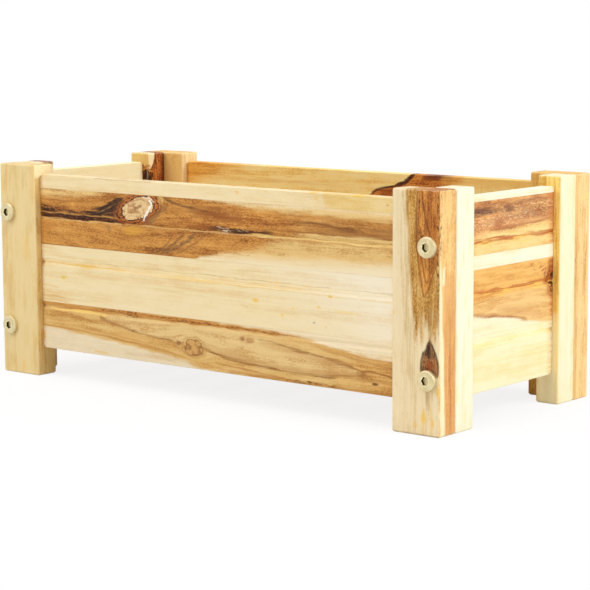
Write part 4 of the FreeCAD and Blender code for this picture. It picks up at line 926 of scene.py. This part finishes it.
leftPanel = {
    "left_panel_strip_1": board(
        sapwood, "endPanel", seed=97, pith=(200, -150), taper=0.02, ringGap=3.0, tone=tone(252, 240, 192),
        late=tone(246, 220, 152), light=tone(253, 246, 214), ends=56, seams=(120.5,),
        groove=farGroove(214.5, 120.5, 164.5),
        streaks=[streak([(-60, 138), (0, 134), (60, 136)], 2, tone(226, 188, 116), 0.5, soft=2, ragged=2,
                        fade=16)]),
    "left_panel_strip_2": board(
        goldenWood, "endPanel", seed=101, pith=(96, -168), taper=0.06, ringGap=3.4, ends=56,
        seams=(120.5, 82.5), groove=farGroove(214.5, 82.5, 120.5),
        knots=[knot((18, 104), (6, 4.6), tone(190, 136, 84), tone(120, 70, 34), tone(200, 142, 76), rings=4,
                    haloReach=1.5, speckShare=0.6)]),
    "left_panel_strip_3": board(
        sapwood, "endPanel", seed=103, pith=(70, -160), taper=-0.05, ringGap=3.8, ends=56, seams=(82.5, 43),
        groove=farGroove(214.5, 43, 82.5),
        zones=[zone(heartwood, upper=[(-60, 86), (-20, 82), (10, 76), (60, 72)], softUp=3)],
        streaks=[streak([(-60, 60), (0, 57), (60, 52)], [(-60, 3), (60, 1)], tone(104, 62, 34), soft=2,
                        ragged=3, fade=14)]),
    "left_panel_strip_4": board(
        sapwood, "endPanel", seed=107, pith=(0, -150), taper=0.02, ringGap=2.8, ends=56, seams=(43,)),
}

cornerPosts = {
    "front_right_side_post": board(
        sapwood, "sidePost", seed=113, pith=(209, -140), taper=-0.05, ringGap=3.0, wander=3,
        tone=tone(232, 211, 168), late=tone(206, 174, 122), line=0.1, brush=0.16, pores=0.08,
        zones=[
            zone(goldenWood, tone=tone(196, 145, 64), late=tone(152, 102, 42), brush=0.24, grit=0.4,
                 grow=(64, 85),
                 lower=[(-5, 202), (60, 199), (72, 197.6), (84, 197), (100, 196.4), (130, 194), (172, 191)],
                 softLow=1.4),
            zone(heartwood, tone=tone(200, 128, 54), late=tone(148, 88, 32), brush=0.3,
                 upper=[(-5, 190), (92, 200), (97, 207), (105, 211), (113, 214.6), (126, 219), (145, 224),
                        (175, 226)], softUp=0.9,
                 lower=[(-5, 215), (92, 212), (97, 207), (110, 204), (125, 201.6), (140, 200.4), (175, 201)],
                 softLow=0.9),
            zone(heartwood, tone=tone(182, 106, 42), late=tone(136, 76, 30), strength=0.75,
                 lower=[(-5, 240), (126, 236), (134, 216), (141, 211.4), (155, 207.2), (175, 204)],
                 softLow=0.6),
            zone(heartwood, tone=tone(118, 74, 38), late=tone(60, 32, 14), deep=tone(18, 9, 5),
                 light=tone(172, 122, 72), ragged=1.4, grit=0.7, cloud=0.7, brush=0.4,
                 upper=[(-5, 196), (36, 200), (44, 219), (50, 219.4), (56, 218.4), (62, 215.6), (67, 213.4),
                        (76, 200)], softUp=1.6,
                 lower=[(-5, 232), (36, 224), (44, 204.8), (50, 204), (56, 205.2), (62, 208.2), (67, 210.6),
                        (76, 226)], softLow=1.6),
        ],
        streaks=[
            # tongue of heartwood round the upper bolt, then the burnt knot at the lower one
            vein([(97, 207), (110, 204), (125, 201.4), (140, 200), (172, 200.6)]),
            vein([(97, 207.2), (112, 214), (126, 218.6)]),
            vein([(107, 208.6), (118, 205.6), (130, 203.8), (146, 203.6)]),
            vein([(107, 208.6), (116, 213), (126, 217)], strength=0.6),
            vein([(116, 210), (126, 207.6), (142, 207)], strength=0.6),
            vein([(42, 205.6), (50, 204.4), (56, 205.4), (62, 208.4), (68, 211.4)], colour=tone(58, 34, 18)),
            vein([(42, 218.2), (50, 218.6), (56, 217.8), (62, 215), (68, 212.4)], colour=tone(58, 34, 18)),
            vein([(136, 213), (142, 211), (155, 207), (174, 204)], half=0.8, colour=tone(112, 62, 26)),
            streak([(70, 204), (84, 203), (98, 205.6)], 0.7, tone(164, 122, 66), 0.6),
            streak([(72, 212), (88, 212.6), (100, 210)], 0.8, tone(168, 126, 70), 0.6),
            streak([(76, 217.6), (92, 217), (112, 218)], 0.7, tone(158, 110, 56), 0.6),
            streak([(100, 218.2), (150, 218.2), (176, 218)], 0.8, tone(52, 28, 16), 0.95, specks=0.8, fade=6),
            streak([(140, 202.2), (158, 202), (168, 202.6)], 0.9, tone(70, 38, 18), 0.9, specks=0.7, fade=3),
            streak([(136, 203.6), (146, 205.6)], 1.2, tone(60, 32, 16), 0.9, specks=0.5, fade=2),
            streak([(80, 197.4), (110, 195.6), (172, 192)], 0.7, tone(196, 146, 74), 0.6, fade=14),
            streak([(55, 212.4), (62, 212), (72, 212.2)], [(55, 3.4), (62, 2), (72, 0.6)], tone(34, 17, 8),
                   0.85, soft=1.6, ragged=3, fade=4),
            streak([(66, 212), (78, 211), (92, 211)], 1.6, tone(186, 146, 88), 0.5, soft=1.6, fade=5),
            streak([(18, 210.4), (28, 209.6), (36, 209)], 1.8, tone(184, 146, 92), 0.6, soft=1.8, ragged=2.4,
                   fade=4),
            streak([(-2, 207), (8, 206.4), (20, 207)], 0.7, drip, fade=3, ragged=0.6),
            streak([(-2, 213.6), (10, 213.4), (24, 212.6)], 0.6, drip, 0.6, fade=4, ragged=0.6),
            streak([(-4, 184), (1.6, 200)], 30, tone(140, 104, 56), 0.6, fade=1.5),
        ],
        spots=[
            # oil that ran down to the foot
            drop((13, 206), (6, 2.8), 0.85),
            drop((7, 200), (3, 1.6), 0.7),
            drop((33, 218.4), (5, 1.8), 0.85),
            drop((10, 214.6), (4, 1.6), 0.6),
            drop((85, 181), (2.4, 1.2), 0.6),
            spot((168, 188), (3, 1), tone(206, 156, 90), 0.5),
            spot((50, 212), (5.6, 5), tone(158, 78, 26), 0.75, ragged=0.8),
        ],
        edge=sideWood(
            1, tone(238, 194, 126), tone(214, 158, 88), line=0.14, brush=0.3,
            streaks=[
                streak([(-30, -84), (40, -84), (116, -84)], 9, tone(206, 142, 80), 0.9, soft=3, fade=50),
                streak([(-10, -93.6), (60, -95.4), (132, -98)], [(-10, 3), (60, 2), (132, 0.6)],
                       tone(243, 228, 184), 0.95, fade=6, solid=True),
                streak([(124, -97), (180, -96.4)], 1.0, tone(96, 54, 28), 0.8, specks=0.8, fade=6),
                streak([(106, -93.6), (112, -93), (119, -92)], 1.5, tone(248, 228, 184), 0.9, soft=1, fade=2),
                streak([(-6, -84), (40, -85), (84, -86)], 1.2, tone(184, 112, 54), soft=1.2, fade=16),
            ])),
    "front_right_end_post": board(
        whiteSapwood, "endPost", seed=127, pith=(-20, -150), taper=0.015, ringGap=2.6, tone=tone(240, 234, 206),
        late=tone(236, 222, 170), light=tone(242, 238, 218), flecks=0.8,
        streaks=[streak([(low, middle), (low + 16, middle + 0.4)], 0.8, tone(244, 218, 138), soft=1.0, fade=6)
                 for low, middle in ((4, -66), (20, -76), (44, -70), (56, -77), (70, -63), (84, -67), (98, -75),
                                     (116, -70), (124, -62), (134, -76), (152, -65))]),
    "front_left_side_post": board(
        sapwood, "sidePost", seed=131, pith=(-150, -150), taper=0.02, ringGap=3.4, tone=tone(229, 204, 147),
        late=tone(216, 180, 112), light=tone(230, 210, 162), line=0.03, brush=0.13, cloud=0.2, drift=0.14,
        streaks=[
            streak([(140, -182), (178, -181.4)], 2, tone(236, 190, 102), 0.5, soft=1.8, fade=10),
            streak([(146, -212.6), (172, -212.4)], 0.7, tone(226, 172, 90), 0.6),
            # painted shade near the inner corner at the foot
            streak([(-5, -182.6), (30, -182)], 2.4, tone(206, 160, 92), 0.4, soft=2, fade=16),
        ],
        spots=[
            drop((45, -206.6), (3, 1.4), 0.6),
            drop((8, -196), (7, 3), 0.35),
            drop((104, -190), (14, 4), 0.25),
        ],
        # the narrow face's golden tone is painted shade from the gap by the panel; the pale stroke above the
        # panel is its own colour
        edge=sideWood(
            1, tone(228, 194, 126), tone(208, 160, 86), cloud=0.4,
            streaks=[
                streak([(161, -86), (184, -86)], 14, tone(252, 234, 186), 0.9, soft=2, ragged=0, fade=4,
                       solid=True),
                streak([(84, -87), (93, -86.4)], 2, tone(214, 150, 60), soft=1, fade=3),
                streak([(24, -86), (40, -85)], 1.6, tone(224, 160, 60), 0.75, soft=1, fade=5),
            ])),
    "front_left_end_post": board(
        sapwood, "endPost", seed=137, pith=(-30, 150), taper=0.02, ringGap=3.0, tone=tone(246, 228, 182),
        late=tone(236, 206, 148), line=0.03, brush=0.06,
        streaks=[
            streak([(169.4, -62), (180, -61)], 6.5, tone(120, 50, 14), 0.9, soft=2.5, ragged=3, fade=2.6,
                   solid=True),
            streak([(-6, -66), (12, -66), (34, -66)], 12, tone(232, 178, 84), 0.6, soft=4, fade=12),
        ]),
    "back_right_end_post": board(
        whiteSapwood, "endPost", seed=139, pith=(120, -160), taper=0.015, ringGap=2.8, tone=tone(239, 229, 190),
        late=tone(232, 212, 150),
        # the narrow front face sits in shade: its golden tone is partly its own and partly raised as painted
        # light, and the pale stroke low down is paler wood raised further as painted light on the foot
        edge=sideWood(
            -1, tone(253, 220, 128), tone(238, 184, 74),
            streaks=[
                streak([(-30, -210), (20, -210), (70, -212)], 9, tone(255, 240, 196), 0.85, soft=4, fade=24,
                       solid=True),
                streak([(70, -204), (130, -205), (180, -206)], 1.4, tone(206, 144, 40), 0.6, soft=1.4, fade=20),
            ])),
    "back_right_side_post": board(
        goldenWood, "sidePost", seed=149, pith=(200, 150), taper=0.03, ringGap=3.2, tone=tone(238, 190, 100),
        late=tone(204, 146, 62),
        edge=sideWood(1, tone(236, 200, 138), tone(216, 164, 96),
                      streaks=[streak([(-5, 80), (180, 79.4)], 1.2, tone(206, 148, 82), 0.5, soft=1.2,
                                      fade=20)])),
    "back_left_end_post": board(
        sapwood, "endPost", seed=151, pith=(66, 170), taper=0.04, ringGap=3.4, tone=tone(248, 216, 140),
        late=tone(230, 178, 86),
        zones=[zone(heartwood, tone=tone(184, 102, 38), late=tone(116, 54, 20), ragged=1.4,
                    lower=[(-5, 57), (140, 57.4), (153, 58), (158, 59.4), (161, 62), (165, 64), (172, 65.4),
                           (180, 65.6)], softLow=1.0)],
        streaks=[
            streak([(154, 57.6), (160, 59), (166, 60.6), (172, 61.2), (184, 61.2)],
                   [(154, 0.6), (160, 1.8), (166, 3.4), (172, 4), (184, 4.2)], tone(252, 236, 190), 0.9,
                   soft=0.6, fade=3, solid=True),
            streak([(156, 55), (184, 55)], 1.8, tone(226, 186, 104), soft=0.6, fade=3, ragged=0.6, solid=True),
            streak([(-5, 76), (140, 75.6), (180, 76)], 1.7, tone(84, 26, 8), 0.9, soft=1.2, fade=4),
        ],
        knots=[knot((150, 58), (8.6, 5.2), tone(58, 30, 12), tone(30, 14, 7), tone(214, 128, 40), rings=3,
                    speck=tone(168, 92, 28), speckShare=0.6, haloReach=1.6, haloShare=0.85, ragged=0.6)]),
    "back_left_side_post": board(
        goldenWood, "sidePost", seed=157, pith=(-190, 150), taper=0.03, ringGap=3.6, tone=tone(240, 198, 118),
        late=tone(216, 160, 78),
        edge=sideWood(1, tone(248, 224, 168), tone(232, 190, 116))),
}

floorBoards = board(
    goldenWood, "slat", seed=163, pith=(0, 60), taper=0.02, ringGap=3.8, pitch=48, tone=tone(226, 194, 138),
    late=tone(186, 138, 82), light=tone(232, 206, 156), line=0.35, rough=0.62, fibre=0.34)

cleatWood = board(
    goldenWood, "longPanel", seed=167, pith=(80, 0), taper=0.03, ringGap=3.2, rough=0.62)

dowelWood = board(
    sapwood, "longPanel", seed=173, pith=(80, 0), ringGap=2.0, line=0.3)

for boards in (frontPanel, rightPanel, backPanel, leftPanel, cornerPosts):
    for node, look in boards.items():
        dress(node, woodFinish(node + "_wood", look))
slatFinish = woodFinish("floor_slat_wood", floorBoards)
for number in range(1, 9):
    dress(f"floor_slat_{number}", slatFinish)
cleatFinish = woodFinish("floor_cleat_wood", cleatWood)
dowelFinish = woodFinish("turned_dowel_wood", dowelWood)
for side in ("front", "back"):
    dress(f"{side}_cleat", cleatFinish)
for side in ("front", "back", "left", "right"):
    dress(f"{side}_panel_dowels", dowelFinish)
print("wood finished on", len(frontPanel) + len(rightPanel) + len(backPanel) + len(leftPanel), "strips and",
      len(cornerPosts), "posts")


# bolts and screws grow from node trees, one mesh for each row
boltRow = {"Head Radius": 7.5, "Head Height": 3.0, "Edge Round": 0.9, "Socket Flats": 6.0, "Socket Depth": 2.6,
           "Shank Radius": 4.0, "Shank Length": 30.0, "Column Gap": 420.0, "Row Gap": 93.0}
boltMiddle = 86.0       # height halfway between the two rows
postFace = 98.0
shank = {"footRadius": 0.78, "footLength": 0.25, "sunk": 0.5}       # shares of its radius, mm into the head
screwRow = {"Head Radius": 3.5, "Shank Radius": 1.75, "Length": 20.0, "Point": 4.0, "Column Gap": 48.0,
            "Row Gap": 140.5, "Columns": 8, "Rows": 2}
slatTop = 49.0
cleatRow = {**screwRow, "Length": 25.0, "Column Gap": 96.0, "Row Gap": 0.0, "Columns": 4, "Rows": 1}
cleatFace, cleatMiddle = 63.5, 33.0
screwHead = {"lip": 0.06, "slotLong": 1.2, "slotWide": 0.26, "slotDeep": 1.1}       # shares of its radius
screwTip = 0.2
turnSeeds = {"bolts": 3, "screws": 4}       # how far each one was turned when it came tight


def startTree(name, inputs):
    tree = bpy.data.node_groups.new(name, "GeometryNodeTree")
    for label, value in inputs.items():
        kind = {int: "NodeSocketInt", float: "NodeSocketFloat"}.get(type(value), "NodeSocketVector")
        tree.interface.new_socket(label, in_out="INPUT", socket_type=kind)
    tree.interface.new_socket("Geometry", in_out="OUTPUT", socket_type="NodeSocketGeometry")
    entry = tree.nodes.new("NodeGroupInput")
    return tree, Shade(tree), {label: Shade(tree, entry.outputs[label]) for label in inputs}


def closeTree(tree, shape, material):
    solid = shape.node("GeometryNodeRealizeInstances", {0: shape})
    solid = shape.node("GeometryNodeSetMaterial", {"Geometry": solid, "Material": material})
    tree.links.new(solid.socket, tree.nodes.new("NodeGroupOutput").inputs[0])


def growPiece(name, tree, inputs):
    start = bpy.data.meshes.new(name)
    piece = bpy.data.objects.new(name, start)
    bpy.context.scene.collection.objects.link(piece)
    modifier = piece.modifiers.new(name, "NODES")
    modifier.node_group = tree
    for item in tree.interface.items_tree:
        if item.in_out == "INPUT":
            modifier[item.identifier] = inputs[item.name]
    grown = bpy.data.meshes.new_from_object(piece.evaluated_get(bpy.context.evaluated_depsgraph_get()))
    piece.modifiers.clear()
    piece.data = grown
    bpy.data.meshes.remove(start)
    return piece


def shapedRod(sheet, levels, sides, radius, height):        # its rings are set by their level, 0 at the foot
    rod = sheet.node("GeometryNodeMeshCylinder", {
        "Vertices": sides, "Side Segments": levels, "Radius": 1.0, "Depth": 1.0}, fill_type="NGON")
    x, y, z = sheet.node("GeometryNodeInputPosition").split()
    level = sheet.math("ROUND", (z + 0.5) * levels)
    place = sheet.vector(x * radius(level), y * radius(level), height(level))
    return sheet.node("GeometryNodeSetPosition", {"Geometry": rod, "Position": place})


def atLeast(level, step):
    return level.math("GREATER_THAN", level, step - 0.5)


def cutAway(sheet, body, tools):
    cut = sheet.node("GeometryNodeMeshBoolean", {"Mesh 1": body}, operation="DIFFERENCE")
    for tool in tools:
        sheet.tree.links.new(tool.socket, cut.socket.node.inputs["Mesh 2"])
    return cut


def placeOnGrid(sheet, shape, sizes, columns, rows, seed):
    spots = sheet.node("GeometryNodeMeshGrid", {
        "Size X": sizes["Column Gap"] * (columns - 1), "Size Y": sizes["Row Gap"] * (rows - 1),
        "Vertices X": columns, "Vertices Y": rows})
    turn = sheet.node("FunctionNodeRandomValue", {2: 0.0, 3: math.tau, "Seed": seed}, 1, data_type="FLOAT")
    laid = sheet.node("GeometryNodeInstanceOnPoints", {
        "Points": spots, "Instance": shape, "Rotation": sheet.vector(z=turn)})
    return sheet.node("GeometryNodeTransform", {
        "Geometry": laid, "Rotation": sizes["Tilt"], "Translation": sizes["Place"]})


def boltTree(material, seed):
    tree, sheet, sizes = startTree("corner bolts", {**boltRow, "Tilt": (0, 0, 0), "Place": (0, 0, 0)})
    edge, flank = sizes["Edge Round"], sizes["Shank Radius"]
    levels = 6      # foot, rim, then steps of the rounded edge

    def bend(level):
        return (level - 1).most(0.0) * (math.pi / 2 / (levels - 1))

    def headRadius(level):
        return sizes["Head Radius"] - edge + edge * level.math("COSINE", bend(level))

    def headHeight(level):
        return (sizes["Head Height"] - edge + edge * level.math("SINE", bend(level))) * atLeast(level, 1)

    def shankRadius(level):
        return flank * (shank["footRadius"] + (1 - shank["footRadius"]) * atLeast(level, 1))

    def shankHeight(level):
        foot, length = flank * shank["footLength"], sizes["Shank Length"]
        upper = length - foot + shank["sunk"] * millimetre
        return atLeast(level, 1) * foot + atLeast(level, 2) * upper - length

    head = shapedRod(sheet, levels, 64, headRadius, headHeight)
    stem = shapedRod(sheet, 2, 24, shankRadius, shankHeight)
    whole = sheet.node("GeometryNodeMeshBoolean", {"Mesh 2": head}, operation="UNION")
    tree.links.new(stem.socket, whole.socket.node.inputs["Mesh 2"])
    hexagon = sheet.node("GeometryNodeMeshCylinder", {
        "Vertices": 6, "Radius": sizes["Socket Flats"] / math.sqrt(3), "Depth": sizes["Socket Depth"] * 2},
        fill_type="NGON")
    top = sheet.vector(z=sizes["Head Height"])
    hexagon = sheet.node("GeometryNodeTransform", {"Geometry": hexagon, "Translation": top})
    closeTree(tree, placeOnGrid(sheet, cutAway(sheet, whole, [hexagon]), sizes, 2, 2, seed), material)
    return tree


def screwTree(material, seed):
    tree, sheet, sizes = startTree("countersunk screws", {**screwRow, "Tilt": (0, 0, 0), "Place": (0, 0, 0)})
    wide, flank = sizes["Head Radius"], sizes["Shank Radius"]
    cone, lip, tip = wide - flank, wide * screwHead["lip"], screwTip * millimetre

    def screwRadius(level):
        return tip + (flank - tip) * atLeast(level, 1) + cone * atLeast(level, 3) - lip * atLeast(level, 4)

    def screwHeight(level):
        straight = sizes["Length"] - sizes["Point"] - cone - lip
        return (sizes["Point"] * atLeast(level, 1) - sizes["Length"] + straight * atLeast(level, 2)
                + cone * atLeast(level, 3) + lip * atLeast(level, 4))

    body = shapedRod(sheet, 4, 32, screwRadius, screwHeight)
    slotLong, slotWide = screwHead["slotLong"], screwHead["slotWide"]
    cross = [sheet.node("GeometryNodeMeshCube", {
        "Size": sheet.vector(wide * along, wide * across, wide * screwHead["slotDeep"])})
        for along, across in ((slotLong, slotWide), (slotWide, slotLong))]
    body = cutAway(sheet, body, cross)
    closeTree(tree, placeOnGrid(sheet, body, sizes, sizes["Columns"], sizes["Rows"], seed), material)
    return tree


def inMetres(sizes):
    return {key: value if isinstance(value, int) else value * millimetre for key, value in sizes.items()}


zincBolts = {"tone": tone(224, 210, 168), "stain": tone(212, 196, 150), "rough": 0.55, "metal": 0.7, "seed": 5,
             "axes": (210, boltMiddle, 46.5), "greaseAndShade": tone(24, 19, 14), "socketBottomPaintedLight": tone(254, 238, 180)}
zincScrews = {"tone": tone(216, 198, 150), "stain": tone(176, 156, 112), "rough": 0.4, "metal": 1.0, "seed": 7}
zincInserts = {"tone": tone(200, 200, 200), "stain": tone(170, 168, 164), "rough": 0.42, "metal": 1.0,
               "seed": 9}
zincMarks = {"blotchSize": 4, "gritSize": 0.5, "blotchRough": 0.3, "gritRough": 0.2, "gritHeight": 0.6,
             "turning": 3.0, "turningHeight": 1.4, "turningRough": 0.2, "socketReach": (3.5, 3.8),
             "greaseAndShadeShare": 0.96, "bump": 0.3, "bumpDepth": 0.0001}


def metalFinish(name, look):
    material, sheet = startMaterial(name)
    seat = inMillimetres(sheet)
    blotch = seat.noise((zincMarks["blotchSize"],) * 3, look["seed"], 3)
    grit = seat.noise((zincMarks["gritSize"],) * 3, look["seed"] + 1, 2)
    colour = blotch.rise(0.38, 0.64).blend(look["tone"], look["stain"])
    rough = (blotch - 0.5) * zincMarks["blotchRough"] + (grit - 0.5) * zincMarks["gritRough"] + look["rough"]
    height = grit * zincMarks["gritHeight"] + blotch
    metal = look["metal"]
    if "axes" in look:      # turning marks round each bolt, then the socket's grease with painted shade, and its painted light
        x, _, z = seat.split()
        across, middle, up = look["axes"]
        u, v = abs(x) - across, abs(z - middle) - up
        radius = (u * u + v * v).root()
        turned = sheet.node("ShaderNodeTexNoise", {"W": radius, "Scale": zincMarks["turning"], "Detail": 3.0},
                            noise_dimensions="1D")
        height = height + turned * zincMarks["turningHeight"]
        rough = rough + (turned - 0.5) * zincMarks["turningRough"]
        # the socket's side walls: grease and painted shade
        aside, facing, _ = sheet.node("ShaderNodeTexCoord", out="Normal").split()
        hexagon = radius.fall(*zincMarks["socketReach"])
        shadedWalls = hexagon * abs(aside).rise(0.3, 0.6) * abs(facing).fall(0.3, 0.7)
        colour = (shadedWalls * zincMarks["greaseAndShadeShare"]).blend(colour, look["greaseAndShade"])
        # the socket's bottom: painted light, pale and not metal
        paintedLitBottom = hexagon * abs(facing).rise(0.7, 0.9)
        colour = paintedLitBottom.blend(colour, look["socketBottomPaintedLight"])
        metal = metal * (1 - paintedLitBottom)
    closeMaterial(sheet.node("ShaderNodeBsdfPrincipled", {
        "Base Color": colour, "Roughness": rough, "Metallic": metal,
        "Normal": height.bump(zincMarks["bump"], zincMarks["bumpDepth"])}))
    return material


boltZinc = metalFinish("satin_yellow_zinc", zincBolts)
screwZinc = metalFinish("screw_zinc", zincScrews)
insertZinc = metalFinish("insert_zinc", zincInserts)
for side in ("front", "back"):
    dress(f"{side}_inserts", insertZinc)

boltsTree, screwsTree = boltTree(boltZinc, turnSeeds["bolts"]), screwTree(screwZinc, turnSeeds["screws"])
quarter = math.pi / 2
fastenings = []
for side, out in (("front", -1), ("back", 1)):
    bolts = growPiece(f"{side}_corner_bolts", boltsTree, {
        **inMetres(boltRow), "Tilt": (-quarter * out, 0, 0),
        "Place": (0, out * postFace * millimetre, boltMiddle * millimetre)})
    fastenings.append((bolts, f"{side}_bolts", "bolt_zinc"))
    cleatScrews = growPiece(f"{side}_cleat_screw_row", screwsTree, {
        **inMetres(cleatRow), "Tilt": (quarter * out, 0, 0),
        "Place": (0, out * cleatFace * millimetre, cleatMiddle * millimetre)})
    fastenings.append((cleatScrews, f"{side}_cleat_screws", "screw_steel"))
floorScrews = growPiece("floor_slat_screws", screwsTree, {
    **inMetres(screwRow), "Tilt": (0, 0, 0), "Place": (0, 0, slatTop * millimetre)})
fastenings.append((floorScrews, "slat_screws", "screw_steel"))
for piece, node, slot in fastenings:
    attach(piece, "root")
    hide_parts(node)
print("bolts and screws set:", sum(len(piece.data.polygons) for piece, _, _ in fastenings), "faces")


# the photograph's view, from the right of the front
view = {"yaw": 39.359, "pitch": 7.936, "roll": -0.258, "lens": 123.13, "place": (1.0115, -1.2194, 0.2917),
        "near": 0.05, "far": 50}


def setCamera():
    yaw, pitch, roll = (math.radians(view[key]) for key in ("yaw", "pitch", "roll"))
    ahead = Vector((-math.sin(yaw) * math.cos(pitch), math.cos(yaw) * math.cos(pitch), -math.sin(pitch)))
    right = Vector((math.cos(yaw), math.sin(yaw), 0))
    up = right.cross(ahead)
    right, up = right * math.cos(roll) + up * math.sin(roll), up * math.cos(roll) - right * math.sin(roll)
    camera = bpy.data.objects.new("photo_view", bpy.data.cameras.new("photo_view"))
    bpy.context.scene.collection.objects.link(camera)
    camera.data.lens = view["lens"]
    camera.data.clip_start, camera.data.clip_end = view["near"], view["far"]
    turned = Matrix((right, up, -ahead)).transposed().to_4x4()
    camera.matrix_world = Matrix.Translation(view["place"]) @ turned
    bpy.context.scene.camera = camera


white = (1, 1, 1, 1)
studio = {"sky": 0.42, "floor": tone(244, 243, 240), "floorGlow": 0.84, "glowReach": (0.3, 0.62),
          "floorHalf": 5.0, "lampAim": (0, 0, 0.09)}
lamps = {
    "front_left_softbox": {"place": (-1.1, -1.9, 1.6), "size": 1.3, "power": 19},
    "right_softbox": {"place": (2.0, 0.5, 1.1), "size": 1.2, "power": 26.6},
    "overhead_softbox": {"place": (0.1, -0.6, 2.2), "size": 1.6, "power": 25},
}


def seenDirectly(sheet):
    ray = sheet.node("ShaderNodeLightPath", out="Is Camera Ray")
    outs = ray.socket.node.outputs
    mirrored, through = (Shade(sheet.tree, outs[name]) for name in ("Is Glossy Ray", "Is Transmission Ray"))
    return ray.most(mirrored).most(through)


def setStudio():
    world, sheet = startMaterial("white_room", bpy.data.worlds)
    bpy.context.scene.world = world
    glow = sheet.node("ShaderNodeBackground", {"Color": white, "Strength": studio["sky"]})
    backdrop = sheet.node("ShaderNodeBackground", {"Color": white, "Strength": 1.0})
    both = sheet.node("ShaderNodeMixShader", {0: seenDirectly(sheet), 1: glow, 2: backdrop})
    closeMaterial(both, "ShaderNodeOutputWorld")

    half = studio["floorHalf"]
    mesh = bpy.data.meshes.new("studio_floor")
    corners = [(-half, -half, 0), (half, -half, 0), (half, half, 0), (-half, half, 0)]
    mesh.from_pydata(corners, [], [(0, 1, 2, 3)])
    floor = bpy.data.objects.new("studio_floor", mesh)
    bpy.context.scene.collection.objects.link(floor)
    paper, sheet = startMaterial("white_paper")
    matt = sheet.node("ShaderNodeBsdfDiffuse", {"Color": studio["floor"]})
    bright = sheet.node("ShaderNodeEmission", {"Color": white, "Strength": 1.0})
    x, y, _ = sheet.node("ShaderNodeTexCoord", out="Object").split()
    fade = (x * x + y * y).root().rise(*studio["glowReach"], studio["floorGlow"], 1.0)      # white all round
    closeMaterial(sheet.node("ShaderNodeMixShader", {0: seenDirectly(sheet) * fade, 1: matt, 2: bright}))
    mesh.materials.append(paper)

    for name, lamp in lamps.items():
        light = bpy.data.lights.new(name, "AREA")
        light.shape, light.size, light.energy = "SQUARE", lamp["size"], lamp["power"]
        box = bpy.data.objects.new(name, light)
        bpy.context.scene.collection.objects.link(box)
        box.location = lamp["place"]
        box.rotation_euler = (Vector(studio["lampAim"]) - box.location).to_track_quat("-Z", "Y").to_euler()
    bpy.context.scene.view_settings.view_transform = "Standard"


setCamera()
setStudio()
print("camera and studio set")
